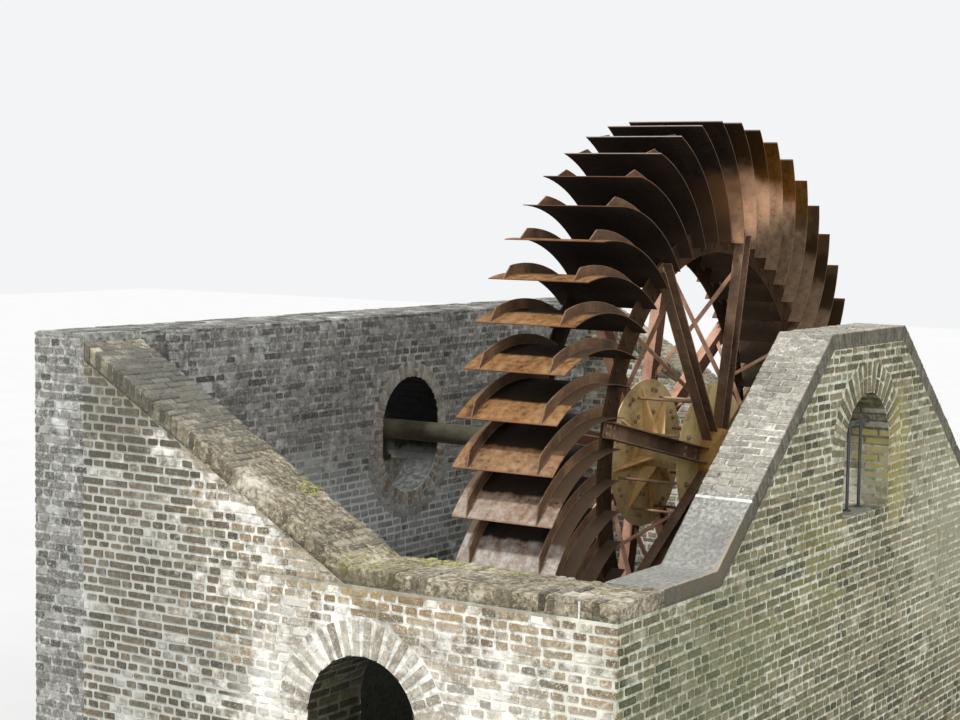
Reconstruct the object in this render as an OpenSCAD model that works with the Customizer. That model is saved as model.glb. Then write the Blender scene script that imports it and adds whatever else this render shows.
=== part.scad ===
// Steel water wheel in its masonry wheel pit.
// X runs along the shaft towards the outer wall, Y runs along the channel
// towards the head of the pit and Z points up. The origin lies at the foot of
// the walls, in the middle of the plan.

/* [Wheel] */
// Radius of the wheel over the blade tips
wheel_r = 2600; // [2560:10:2620]
// Width of the blades along the shaft
blade_w = 800; // [780:10:840]
// Number of blades, a multiple of the spokes in one frame
blade_n = 48; // [40, 48]
// Turn of the first blade tip from the top, in degrees
blade_phase = 4.2; // [3.8:0.1:4.6]
// Radius where a blade ends towards the hub
blade_in_r = 1685; // [1670:5:1700]
// Angle by which the inner end of a blade leads its tip, in degrees
blade_lead = 12.6; // [12:0.1:13]
// Radius of the curve of a blade
blade_bow = 1155; // [1100:5:1250]
// Thickness of a blade plate
blade_t = 6; // [5:1:8]

/* [Ribs and rings] */
// Height of a curved rib above its blade
rib_h = 72; // [60:1:85]
// Thickness of a rib
rib_t = 8; // [6:1:10]
// Slope of the cut at the outer end of a rib, in degrees
rib_cut = 30; // [25:1:40]
// Outer radius of the two bolted rings
ring_out_r = 1800; // [1780:5:1820]
// Inner radius of the two bolted rings
ring_in_r = 1600; // [1560:5:1620]
// Distance from the middle of the wheel to the inner face of a ring
frame_x = 283; // [270:1:290]
// Thickness of the rings and of the hub discs
plate_t = 10; // [8:1:12]

/* [Spokes and braces] */
// Spokes in one frame
spoke_n = 8; // [8]
// Turn of the first spoke from the top, in degrees
spoke_phase = 32.5; // [32.2:0.1:33]
// Width of the spoke channels over the flanges
spoke_w = 120; // [110:5:120]
// Depth of the spoke flanges
spoke_d = 80; // [70:1:85]
// Thickness of the spoke web
spoke_web = 7; // [6:1:8]
// Thickness of the spoke flanges
spoke_flange = 9; // [7:1:10]
// Radius where the spokes end
spoke_out_r = 1780; // [1740:5:1790]
// Width of the diagonal brace bars
brace_w = 60; // [50:1:70]
// Thickness of the diagonal brace bars
brace_t = 10; // [8:1:12]
// Radius where a brace meets a spoke, towards the ring
brace_out_r = 1490; // [1400:10:1520]
// Radius where its other end meets the spoke across the wheel
brace_in_r = 625; // [625:5:680]

/* [Hub and shaft] */
// Radius of the two hub discs
disc_r = 585; // [570:5:600]
// Width across the flats of the eight-sided bosses
boss_af = 460; // [420:5:480]
// Length of a boss outside its disc
boss_l = 120; // [110:5:130]
// Outer radius of the sleeve between the discs
sleeve_r = 115; // [110:1:125]
// Length of a gusset along the disc, from the sleeve
gusset_h = 430; // [400:5:440]
// Length of a gusset along the sleeve
gusset_l = 130; // [110:5:160]
// Thickness of a gusset
gusset_t = 12; // [10:1:15]
// Turn of the first gusset from the top, in degrees
gusset_phase = 10; // [8:0.5:12]
// Radius of the circle of tie rods
rod_circle_r = 470; // [450:5:480]
// Diameter of a tie rod
rod_d = 22; // [20:1:25]
// Turn of the first tie rod from the top, in degrees
rod_phase = 19; // [18:0.5:20]
// Diameter of the shaft
shaft_d = 168; // [160:2:170]
// Wall of the hollow shaft
shaft_wall = 24; // [18:1:30]
// Length of the shaft from the middle of the wheel into the mill
shaft_mill = 3400; // [3350:10:3500]
// Length of the shaft from the middle of the wheel to its outer end
shaft_end = 1080; // [1040:5:1100]
// Diameter of the turned seat for a gear, at the mill end
seat_d = 160; // [150:1:164]
// Length of the turned seat
seat_l = 220; // [200:5:240]

/* [Bearings] */
// Radial clearance of the shaft in a bearing
bearing_clear = 0.05; // [0.02:0.01:0.1]
// Outer radius of a bearing housing
bearing_r = 150; // [140:5:160]
// Length of a bearing along the shaft
bearing_l = 160; // [140:5:180]
// Height of the shaft above the bearing seats
bearing_h = 300; // [290:5:310]
// Width of a bearing foot
foot_w = 440; // [420:10:460]
// Thickness of a bearing foot
foot_t = 40; // [30:1:50]
// Distance from the middle of the wheel to the outer bearing's middle
bearing_out_x = 900; // [880:5:930]
// Distance from the middle of the wheel to the mill bearing's middle
bearing_mill_x = 3000; // [2990:5:3010]

/* [Outer wall] */
// Distance from the middle of the wheel to the inner face of the outer wall
outer_in_x = 1144; // [1130:2:1160]
// Thickness of the outer wall
outer_t = 416; // [400:2:430]
// Half length of the pit over its end walls
pit_half = 3777; // [3700:1:3850]
// Depth of the foot of the walls below the shaft
base_z = 2750; // [2740:10:2900]
// Depth of the low wall tops below the shaft
low_z = 353; // [345:1:360]
// Height of the top of the outer wall above the shaft
top_z = 1065; // [1040:5:1090]
// Half length of the level top over the shaft
top_half = 715; // [700:5:730]
// Half length over the feet of the two slopes
slope_half = 2470; // [2440:5:2500]
// Thickness of the brick-on-edge copings
coping_t = 115; // [100:5:125]
// Half width of the arched hatch
hatch_half = 443; // [430:1:455]
// Height of the springing of the hatch arch above the shaft
hatch_spring = 156; // [150:1:170]
// Depth of the sill of the hatch below the shaft
hatch_sill = 300; // [290:5:310]
// Height of the arch bricks
arch_t = 240; // [220:5:245]

/* [End walls] */
// Thickness of the end walls
end_t = 575; // [560:5:590]
// Half width of a culvert
culvert_half = 424; // [410:1:440]
// Place of the middle of a culvert, from the middle of the wheel
culvert_x = -280; // [-300:5:-260]
// Depth of the springing of a culvert below the shaft
culvert_spring = 1344; // [1330:1:1360]
// Place where an end wall starts to rise, from the middle of the wheel
rise_x = -390; // [-410:5:-370]
// Height of an end wall at the mill, above the shaft
rise_z = 953; // [935:1:965]

/* [Mill wall] */
// Distance from the middle of the wheel to the face of the mill wall
mill_x = 2560; // [2550:5:2570]
// Thickness of the mill wall
mill_t = 600; // [590:5:620]
// Depth of the step back of the wall at both ends of the pit
step_t = 130; // [120:5:140]
// Distance from the middle of the wheel along the channel to a step
step_y = 2950; // [2930:5:2980]
// Height of the level cut of the mill wall above the shaft
mill_top = 1000; // [980:5:1040]
// Half width of the opening for the shaft
eye_half = 406; // [400:1:412]
// Height of the opening for the shaft
eye_h = 985; // [970:5:995]
// Depth of the middle of the opening below the shaft
eye_drop = 33; // [30:1:36]
// Width of the brick ring round the opening
eye_ring = 230; // [220:5:235]
// Length of the padstone along the shaft
pad_l = 300; // [290:5:310]

/* [Bearing pier] */
// Distance from the middle of the wheel to the wheel side of the pier
pier_in_x = 740; // [720:5:760]
// Width of the pier along the channel
pier_w = 620; // [600:10:660]

/* [Grille] */
// Width of the bars of the hatch grille
bar_w = 36; // [30:1:40]
// Thickness of the bars of the hatch grille
bar_t = 12; // [10:1:14]
// Distance of the grille behind the outer face of the wall
grille_in = 140; // [120:5:160]
// Spacing of the three uprights along the channel
bar_step = 224; // [215:1:230]
// Height of the rail above the shaft
rail_z = 372; // [360:2:384]

/* [Hidden] */
$fn = 96;
eps = 1;
x_far = -shaft_mill;
x_near = outer_in_x + outer_t;
wheel_x = -(x_far + x_near) / 2;
axle_z = base_z;
shaft_r = shaft_d / 2;
ring_face = frame_x + plate_t;
spoke_side = spoke_w / 2;
boss_r = boss_af / 2 / cos(22.5);
slope_a = atan((top_z + low_z) / (slope_half - top_half));
step_x = mill_x + step_t;
rise_a = atan((rise_z + low_z) / (step_x + rise_x));
pit_in = pit_half - end_t;

// Blade curve in the plane of the wheel, with the tip on the first axis
function polar(r, a) = [r * cos(a), r * sin(a)];
blade_tip = [wheel_r, 0];
blade_root = polar(blade_in_r, -blade_lead);
blade_chord = blade_tip - blade_root;
blade_half = norm(blade_chord) / 2;
blade_dir = blade_chord / norm(blade_chord);
blade_rise = sqrt(blade_bow * blade_bow - blade_half * blade_half);
blade_centre = (blade_tip + blade_root) / 2 + blade_rise * [-blade_dir[1], blade_dir[0]];
tip_a = atan2(blade_tip[1] - blade_centre[1], blade_tip[0] - blade_centre[0]);
root_a = atan2(blade_root[1] - blade_centre[1], blade_root[0] - blade_centre[0]);

blade_names = ["blades_1", "blades_2", "blades_3", "blades_4",
    "blades_5", "blades_6", "blades_7", "blades_8"];
blade_group = blade_n / len(blade_names);

// Moves a piece from the middle of the wheel into the frame of the plan
module placed() {
    translate([wheel_x, 0, axle_z]) children();
}

// Extrudes an outline in the plane of the wheel along the shaft
module across(x0, x1) {
    translate([x0, 0, 0]) rotate([90, 0, 90]) linear_extrude(x1 - x0) children();
}

// Extrudes an outline seen from the front along the channel
module along(y0, y1) {
    translate([0, y1, 0]) rotate([90, 0, 0]) linear_extrude(y1 - y0) children();
}

// Turns a piece about the shaft, from the top towards the front
module turned(a) {
    rotate([a, 0, 0]) children();
}

// Mirrors a piece to the far side of the wheel
module far_side() {
    mirror([1, 0, 0]) children();
}

// Mirrors a piece to the back of the pit
module back_side() {
    mirror([0, 1, 0]) children();
}

// Triangle between two directions from the middle of the blade curve
module blade_sector() {
    polygon([blade_centre, blade_centre + polar(2 * blade_bow, root_a),
        blade_centre + polar(2 * blade_bow, tip_a)]);
}

// Ring about the middle of the blade curve
module blade_band(r0, r1) {
    translate(blade_centre) difference() {
        circle(r = r1, $fn = 200);
        circle(r = r0, $fn = 200);
    }
}

// Section of one blade plate
module blade_outline() {
    intersection() {
        blade_band(blade_bow - blade_t / 2, blade_bow + blade_t / 2);
        blade_sector();
    }
}

// Outline of one rib, which stands on the round side of the blade
module rib_outline() {
    rib_start = blade_centre + polar(blade_bow + blade_t / 2, tip_a);
    intersection() {
        blade_band(blade_bow + blade_t / 2, blade_bow + blade_t / 2 + rib_h);
        polygon([blade_centre, blade_centre + polar(2 * blade_bow, root_a),
            rib_start + polar(400, tip_a - 90 + rib_cut), rib_start]);
    }
}

// Angle of the tip of a blade, in the plane of the wheel
function blade_a(i) = 90 + blade_phase + i * 360 / blade_n;

// One group of blades, slotted over both rings
module blades(group) {
    color([0.42, 0.24, 0.15]) placed() difference() {
        for (i = [0 : blade_group - 1])
            across(-blade_w / 2, blade_w / 2)
                rotate(blade_a(group * blade_group + i)) blade_outline();
        for (side = [frame_x, -ring_face])
            across(side, side + plate_t) circle(r = ring_out_r + eps, $fn = 200);
    }
}

// The ribs of one side, against the inner face of the ring
module ribs() {
    for (i = [0 : blade_n - 1])
        across(frame_x - rib_t, frame_x) rotate(blade_a(i)) rib_outline();
}

module near_ribs() {
    color([0.38, 0.22, 0.14]) placed() ribs();
}

module far_ribs() {
    color([0.38, 0.22, 0.14]) placed() far_side() ribs();
}

// Flat ring that carries the blades and ribs
module ring() {
    across(frame_x, ring_face) difference() {
        circle(r = ring_out_r, $fn = 200);
        circle(r = ring_in_r, $fn = 200);
    }
}

module near_ring() {
    color([0.36, 0.23, 0.16]) placed() ring();
}

module far_ring() {
    color([0.36, 0.23, 0.16]) placed() far_side() ring();
}

// Channel section that lies with its web on the ring and the disc
module channel() {
    length = spoke_out_r - boss_af / 2;
    translate([ring_face, -spoke_side, boss_af / 2]) {
        cube([spoke_web, spoke_w, length]);
        cube([spoke_d, spoke_flange, length]);
        translate([0, spoke_w - spoke_flange, 0])
            cube([spoke_d, spoke_flange, length]);
    }
}

// The eight spokes of one side
module spokes() {
    for (i = [0 : spoke_n - 1]) turned(spoke_phase + i * 360 / spoke_n) channel();
}

module near_spokes() {
    color([0.30, 0.17, 0.12]) placed() spokes();
}

module far_spokes() {
    color([0.45, 0.25, 0.18]) placed() far_side() spokes();
}

// One diagonal bar from a spoke to the foot of the spoke on the other side
module brace() {
    half = brace_w / 2;
    translate([0, brace_t / 4, 0]) rotate([90, 0, 0])
        translate([0, 0, -brace_t]) linear_extrude(brace_t) polygon([
            [ring_face, brace_out_r - half], [ring_face, brace_out_r + half],
            [-ring_face, brace_in_r + half], [-ring_face, brace_in_r - half]]);
}

// Two crossed bars at every spoke
module braces() {
    color([0.42, 0.22, 0.16]) placed()
        for (i = [0 : spoke_n - 1]) turned(spoke_phase + i * 360 / spoke_n) {
            brace();
            rotate([0, 0, 180]) brace();
        }
}

// Hub disc with holes for the tie rods
module disc() {
    difference() {
        across(frame_x, ring_face) difference() {
            circle(r = disc_r, $fn = 160);
            circle(r = shaft_r);
        }
        for (i = [0 : spoke_n - 1]) turned(rod_phase + i * 360 / spoke_n)
            translate([frame_x - eps, 0, rod_circle_r]) rotate([0, 90, 0])
                cylinder(d = rod_d, h = plate_t + 2 * eps, $fn = 32);
    }
}

module near_disc() {
    color([0.70, 0.55, 0.22]) placed() disc();
}

module far_disc() {
    color([0.70, 0.55, 0.22]) placed() far_side() disc();
}

// Eight-sided boss that the spokes butt against
module boss() {
    across(ring_face, ring_face + boss_l) difference() {
        rotate(90 + spoke_phase + 22.5) circle(r = boss_r, $fn = 8);
        circle(r = shaft_r);
    }
}

module near_boss() {
    color([0.62, 0.32, 0.15]) placed() boss();
}

module far_boss() {
    color([0.62, 0.32, 0.15]) placed() far_side() boss();
}

// Sleeve that keeps the discs apart on the shaft
module sleeve() {
    color([0.66, 0.50, 0.20]) placed() across(-frame_x, frame_x) difference() {
        circle(r = sleeve_r);
        circle(r = shaft_r);
    }
}

// Triangular gussets between a disc and the sleeve
module gussets() {
    for (i = [0 : spoke_n - 1]) turned(gusset_phase + i * 360 / spoke_n)
        translate([0, gusset_t / 2, 0]) rotate([90, 0, 0])
            linear_extrude(gusset_t) polygon([
                [frame_x, sleeve_r + 0.5], [frame_x, sleeve_r + gusset_h],
                [frame_x - gusset_l, sleeve_r + 0.5]]);
}

module near_gussets() {
    color([0.74, 0.58, 0.24]) placed() gussets();
}

module far_gussets() {
    color([0.74, 0.58, 0.24]) placed() far_side() gussets();
}

// Thin rods through both discs, with a nut outside each disc
module tie_rods() {
    color([0.45, 0.28, 0.18]) placed()
        for (i = [0 : spoke_n - 1]) turned(rod_phase + i * 360 / spoke_n)
            translate([0, 0, rod_circle_r]) rotate([0, 90, 0]) {
                cylinder(d = rod_d, h = 2 * ring_face + 60, center = true, $fn = 32);
                for (s = [-1, 1]) translate([0, 0, s * (ring_face + 9)])
                    cylinder(r = rod_d * 0.9, h = 18, center = true, $fn = 6);
            }
}

// Hollow shaft through the wheel, with a turned seat inside the mill
module shaft() {
    color([0.42, 0.38, 0.28]) placed() difference() {
        union() {
            across(seat_l - shaft_mill, shaft_end) circle(r = shaft_r);
            across(-shaft_mill, seat_l - shaft_mill) circle(d = seat_d);
        }
        across(-shaft_mill - eps, shaft_end + eps) circle(r = shaft_r - shaft_wall);
    }
}

// Pedestal bearing about the middle of the shaft
module bearing() {
    across(-bearing_l / 2, bearing_l / 2) difference() {
        union() {
            circle(r = bearing_r);
            translate([-bearing_r, -bearing_h]) square([2 * bearing_r, bearing_h]);
            translate([-foot_w / 2, -bearing_h]) square([foot_w, foot_t]);
        }
        circle(r = shaft_r + bearing_clear);
    }
}

module outer_bearing() {
    color([0.26, 0.22, 0.19]) placed() translate([bearing_out_x, 0, 0]) bearing();
}

module mill_bearing() {
    color([0.26, 0.22, 0.19]) placed() translate([-bearing_mill_x, 0, 0]) bearing();
}

// Masonry pier under the outer bearing
module bearing_pier() {
    color([0.56, 0.52, 0.47]) placed()
        translate([pier_in_x, -pier_w / 2, -base_z])
            cube([outer_in_x - pier_in_x, pier_w, base_z - bearing_h]);
}

// Outline of the outer wall under its coping, for a coping depth of d
function outer_top(d) = [
    [-pit_half, -low_z - d],
    [-slope_half + d * tan(slope_a / 2), -low_z - d],
    [-top_half + d * tan(slope_a / 2), top_z - d],
    [top_half - d * tan(slope_a / 2), top_z - d],
    [slope_half - d * tan(slope_a / 2), -low_z - d],
    [pit_half, -low_z - d]];

// Hatch with the ring of its arch, grown by the height of the arch bricks
module arch_space(half, spring, foot, ring) {
    translate([-half, foot]) square([2 * half, spring - foot]);
    intersection() {
        translate([0, spring]) circle(r = half + ring, $fn = 120);
        translate([-2 * half, spring - eps / 2])
            square([4 * half, 3 * half]);
    }
}

// Half ring of arch bricks
module arch_ring(half, spring) {
    translate([0, spring]) intersection() {
        difference() {
            circle(r = half + arch_t, $fn = 120);
            circle(r = half, $fn = 120);
        }
        translate([-2 * half, 0]) square([4 * half, 3 * half]);
    }
}

// Front half of the outer wall, beside and half over the hatch
module outer_half() {
    across(outer_in_x, outer_in_x + outer_t) difference() {
        intersection() {
            polygon(concat([[pit_half, -base_z], [-pit_half, -base_z]],
                outer_top(coping_t)));
            translate([-pit_half, -base_z]) square([pit_half, 2 * base_z]);
        }
        arch_space(hatch_half, hatch_spring, -hatch_sill, arch_t);
    }
}

module outer_wall_front() {
    color([0.55, 0.51, 0.46]) placed() outer_half();
}

module outer_wall_back() {
    color([0.55, 0.51, 0.46]) placed() back_side() outer_half();
}

module outer_arch() {
    color([0.60, 0.54, 0.44]) placed()
        across(outer_in_x, outer_in_x + outer_t)
            arch_ring(hatch_half, hatch_spring);
}

// Level and sloping coping at one end of the outer wall
module outer_end_coping() {
    t = outer_top(0);
    u = outer_top(coping_t);
    across(outer_in_x, outer_in_x + outer_t) polygon([
        [-pit_in, t[0][1]], t[1], t[2], u[2], u[1], [-pit_in, u[0][1]]]);
}

module outer_coping_front() {
    color([0.60, 0.57, 0.53]) placed() outer_end_coping();
}

module outer_coping_back() {
    color([0.60, 0.57, 0.53]) placed() back_side() outer_end_coping();
}

module outer_coping_top() {
    t = outer_top(0);
    u = outer_top(coping_t);
    color([0.60, 0.57, 0.53]) placed()
        across(outer_in_x, outer_in_x + outer_t) polygon([t[2], t[3], u[3], u[2]]);
}

// Top line of an end wall seen from the front, for a coping depth of d
function end_top(d) = [
    [-step_x, rise_z - d / cos(rise_a)],
    [rise_x - d * tan(rise_a / 2), -low_z - d],
    [x_near, -low_z - d]];

// End wall from x0 to x1, beside and half over the culvert
module end_half(x0, x1) {
    along(-pit_half, -pit_in) difference() {
        intersection() {
            polygon(concat([[x_near, -base_z], [-step_x, -base_z]],
                end_top(coping_t)));
            translate([x0, -base_z]) square([x1 - x0, 2 * base_z]);
        }
        translate([culvert_x, 0]) arch_space(culvert_half, -culvert_spring,
            -base_z - eps, arch_t);
    }
}

module end_arch() {
    along(-pit_half, -pit_in) translate([culvert_x, 0])
        arch_ring(culvert_half, -culvert_spring);
}

// Coping of an end wall, level and then rising to the mill
module end_coping() {
    t = end_top(0);
    u = end_top(coping_t);
    along(-pit_half, -pit_in) polygon([t[0], t[1], t[2], u[2], u[1], u[0]]);
}

module front_wall_left() {
    color([0.62, 0.57, 0.52]) placed() end_half(-step_x, culvert_x);
}

module front_wall_right() {
    color([0.62, 0.57, 0.52]) placed() end_half(culvert_x, outer_in_x);
}

module front_arch() {
    color([0.64, 0.60, 0.55]) placed() end_arch();
}

module front_coping() {
    color([0.52, 0.49, 0.44]) placed() end_coping();
}

module back_wall_left() {
    color([0.62, 0.57, 0.52]) placed() back_side() end_half(-step_x, culvert_x);
}

module back_wall_right() {
    color([0.62, 0.57, 0.52]) placed() back_side() end_half(culvert_x, outer_in_x);
}

module back_arch() {
    color([0.64, 0.60, 0.55]) placed() back_side() end_arch();
}

module back_coping() {
    color([0.52, 0.49, 0.44]) placed() back_side() end_coping();
}

// Upright opening with round ends, grown by g all round
module eye(g) {
    reach = eye_h / 2 - eye_half;
    translate([0, -eye_drop]) {
        for (s = [-1, 1]) translate([0, s * reach]) circle(r = eye_half + g, $fn = 120);
        translate([-eye_half - g, -reach]) square([2 * (eye_half + g), 2 * reach]);
    }
}

// Front half of the mill wall, cut level above the pit, with its step back
module mill_half() {
    across(-mill_x - mill_t, -mill_x) difference() {
        translate([-step_y, -base_z]) square([step_y, base_z + mill_top]);
        eye(eye_ring);
    }
    across(-mill_x - mill_t, -step_x)
        translate([-pit_half, -base_z])
            square([pit_half - step_y + eps, base_z + mill_top]);
}

module mill_wall_front() {
    color([0.50, 0.44, 0.40]) placed() mill_half();
}

module mill_wall_back() {
    color([0.50, 0.44, 0.40]) placed() back_side() mill_half();
}

module eye_ring() {
    color([0.58, 0.50, 0.45]) placed() across(-mill_x - mill_t, -mill_x) difference() {
        eye(eye_ring);
        eye(0);
    }
}

// Padstone in the foot of the opening, under the mill bearing
module padstone() {
    color([0.62, 0.58, 0.50]) placed()
        across(-mill_x - mill_t, -mill_x - mill_t + pad_l) intersection() {
            eye(0);
            translate([-eye_half, -eye_h]) square([2 * eye_half, eye_h - bearing_h]);
        }
}

// Three uprights and a rail that close the hatch
module hatch_grille() {
    x0 = outer_in_x + outer_t - grille_in - bar_t;
    color([0.20, 0.20, 0.20]) placed() across(x0, x0 + bar_t) {
        for (i = [-1 : 1])
            translate([i * bar_step - bar_w / 2, -hatch_sill])
                square([bar_w, hatch_sill + rail_z]);
        intersection() {
            translate([-hatch_half, rail_z - bar_w])
                square([2 * hatch_half, bar_w]);
            translate([0, hatch_spring]) circle(r = hatch_half);
        }
    }
}

outer_wall_front();
outer_wall_back();
outer_arch();
outer_coping_front();
outer_coping_top();
outer_coping_back();
front_wall_left();
front_wall_right();
front_arch();
front_coping();
back_wall_left();
back_wall_right();
back_arch();
back_coping();
mill_wall_front();
mill_wall_back();
eye_ring();
padstone();
bearing_pier();
outer_bearing();
mill_bearing();
hatch_grille();
shaft();
sleeve();
near_disc();
far_disc();
near_boss();
far_boss();
near_gussets();
far_gussets();
tie_rods();
near_spokes();
far_spokes();
braces();
near_ring();
far_ring();
near_ribs();
far_ribs();
for (g = [0 : len(blade_names) - 1])
    blades(g);
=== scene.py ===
"""Looks of an iron water wheel in its brick wheel pit.

The solids come from the shared frame. This script lays the bricks, arches and
copings on the walls, bolts and welds the ironwork, and dresses every surface.
Lengths are in metres. The wheel turns about the X axis and Z points up.
"""
import logging
import math
from collections.abc import Callable
from dataclasses import dataclass, field
from enum import Enum

import bpy
import numpy as np
from mathutils import Matrix, Vector


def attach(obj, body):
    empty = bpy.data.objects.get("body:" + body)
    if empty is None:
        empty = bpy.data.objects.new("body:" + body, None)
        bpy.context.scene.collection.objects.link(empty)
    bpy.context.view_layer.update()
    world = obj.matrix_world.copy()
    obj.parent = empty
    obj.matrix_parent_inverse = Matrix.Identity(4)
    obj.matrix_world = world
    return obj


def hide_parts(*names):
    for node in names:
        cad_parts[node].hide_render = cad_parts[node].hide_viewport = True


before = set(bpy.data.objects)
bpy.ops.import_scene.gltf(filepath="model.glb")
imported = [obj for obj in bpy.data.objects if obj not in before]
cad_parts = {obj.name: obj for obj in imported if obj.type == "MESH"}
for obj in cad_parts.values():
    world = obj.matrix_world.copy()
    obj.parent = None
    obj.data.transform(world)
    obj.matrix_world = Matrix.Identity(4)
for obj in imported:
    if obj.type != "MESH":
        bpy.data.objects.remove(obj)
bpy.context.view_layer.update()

log = logging.getLogger("water_wheel")

Colour = tuple[float, float, float]
Spot = tuple[float, float, float]
Point = tuple[float, float]
Corners = tuple[int, ...]
Materials = dict[str, bpy.types.Material]

X, Y, Z = (1, 0, 0), (0, 1, 0), (0, 0, 1)

# Frame of the plan
AXLE = (0.920, 0.0, 2.750)
PIT_HALF = 3.777
PIT_IN = 3.202
OUTER_IN = 2.064
OUTER_OUT = 2.480
MILL_FACE = -1.640
STEP_FACE = -1.770
STEP_Y = 2.950
MILL_BACK = -2.240
MILL_TOP = 3.750
LOW_TOP = 2.397
OUTER_TOP = 3.815
TOP_HALF = 0.715
SLOPE_HALF = 2.470
RISE_X = 0.530
RISE_TOP = 3.703
COPING = 0.115
SLOPE_A = math.atan((OUTER_TOP - LOW_TOP) / (SLOPE_HALF - TOP_HALF))
RISE_A = math.atan((RISE_TOP - LOW_TOP) / (RISE_X - STEP_FACE))
SLOPE_IN = COPING * math.tan(SLOPE_A / 2)
RISE_IN = COPING * math.tan(RISE_A / 2)
PIER_HALF = 0.31
SILL = 2.45

# Bricks
COURSE = 0.063
JOINT = 0.0165
PROUD = 0.0050
SUNK = 0.006
BEVEL = 0.0035
SHAKE = 0.0032
STRETCHER = 0.220
HEADER = 0.108
ARCH_PITCH = 0.066


class Body(Enum):
    """The two bodies of the model."""

    PIT = "pit"
    WHEEL = "wheel"


class Bond(Enum):
    """How the bricks of one face are laid."""

    MIXED = "mixed"
    HEADERS = "headers"
    STRETCHERS = "stretchers"


def put(name: str, data: bpy.types.ID) -> bpy.types.Object:
    """Makes an object and links it to the scene."""
    made = bpy.data.objects.new(name, data)
    bpy.context.scene.collection.objects.link(made)
    return made


# ---------------------------------------------------------------- materials
class Wire:
    """An output of a node, which plain sums can be written with."""

    def __init__(self, shader: "Shader", socket: bpy.types.NodeSocket) -> None:
        """Keeps the output and the tree that it is in."""
        self.shader, self.socket = shader, socket

    def __add__(self, other: "Wire | float") -> "Wire":
        """Adds."""
        return self.shader.maths("ADD", self, other)

    def __sub__(self, other: "Wire | float") -> "Wire":
        """Takes away."""
        return self.shader.maths("SUBTRACT", self, other)

    def __rsub__(self, other: float) -> "Wire":
        """Takes this away from a number."""
        return self.shader.maths("SUBTRACT", other, self)

    def __mul__(self, other: "Wire | float") -> "Wire":
        """Multiplies."""
        return self.shader.maths("MULTIPLY", self, other)

    def span(self, low: float, high: float, to_low: float = 0.0,
             to_high: float = 1.0) -> "Wire":
        """Stretches this from one range to another, softly and clamped."""
        return self.shader.node("MapRange", {
            "Value": self, "From Min": low, "From Max": high, "To Min": to_low,
            "To Max": to_high}, interpolation_type="SMOOTHSTEP")

    def ramp(self, *stops: tuple[float, Colour]) -> "Wire":
        """Reads this on a scale of colours.

        Args:
            stops: Place and colour of each stop, in order.

        Returns:
            The colour.
        """
        made = self.shader.node("ValToRGB", {0: self})
        bar = made.socket.node.color_ramp.elements
        while len(bar) < len(stops):
            bar.new(0.5)
        for part, (place, colour) in zip(bar, stops):
            part.position = place
            part.color = (*colour, 1.0)
        return made


Value = Wire | float | tuple[float, ...]


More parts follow.
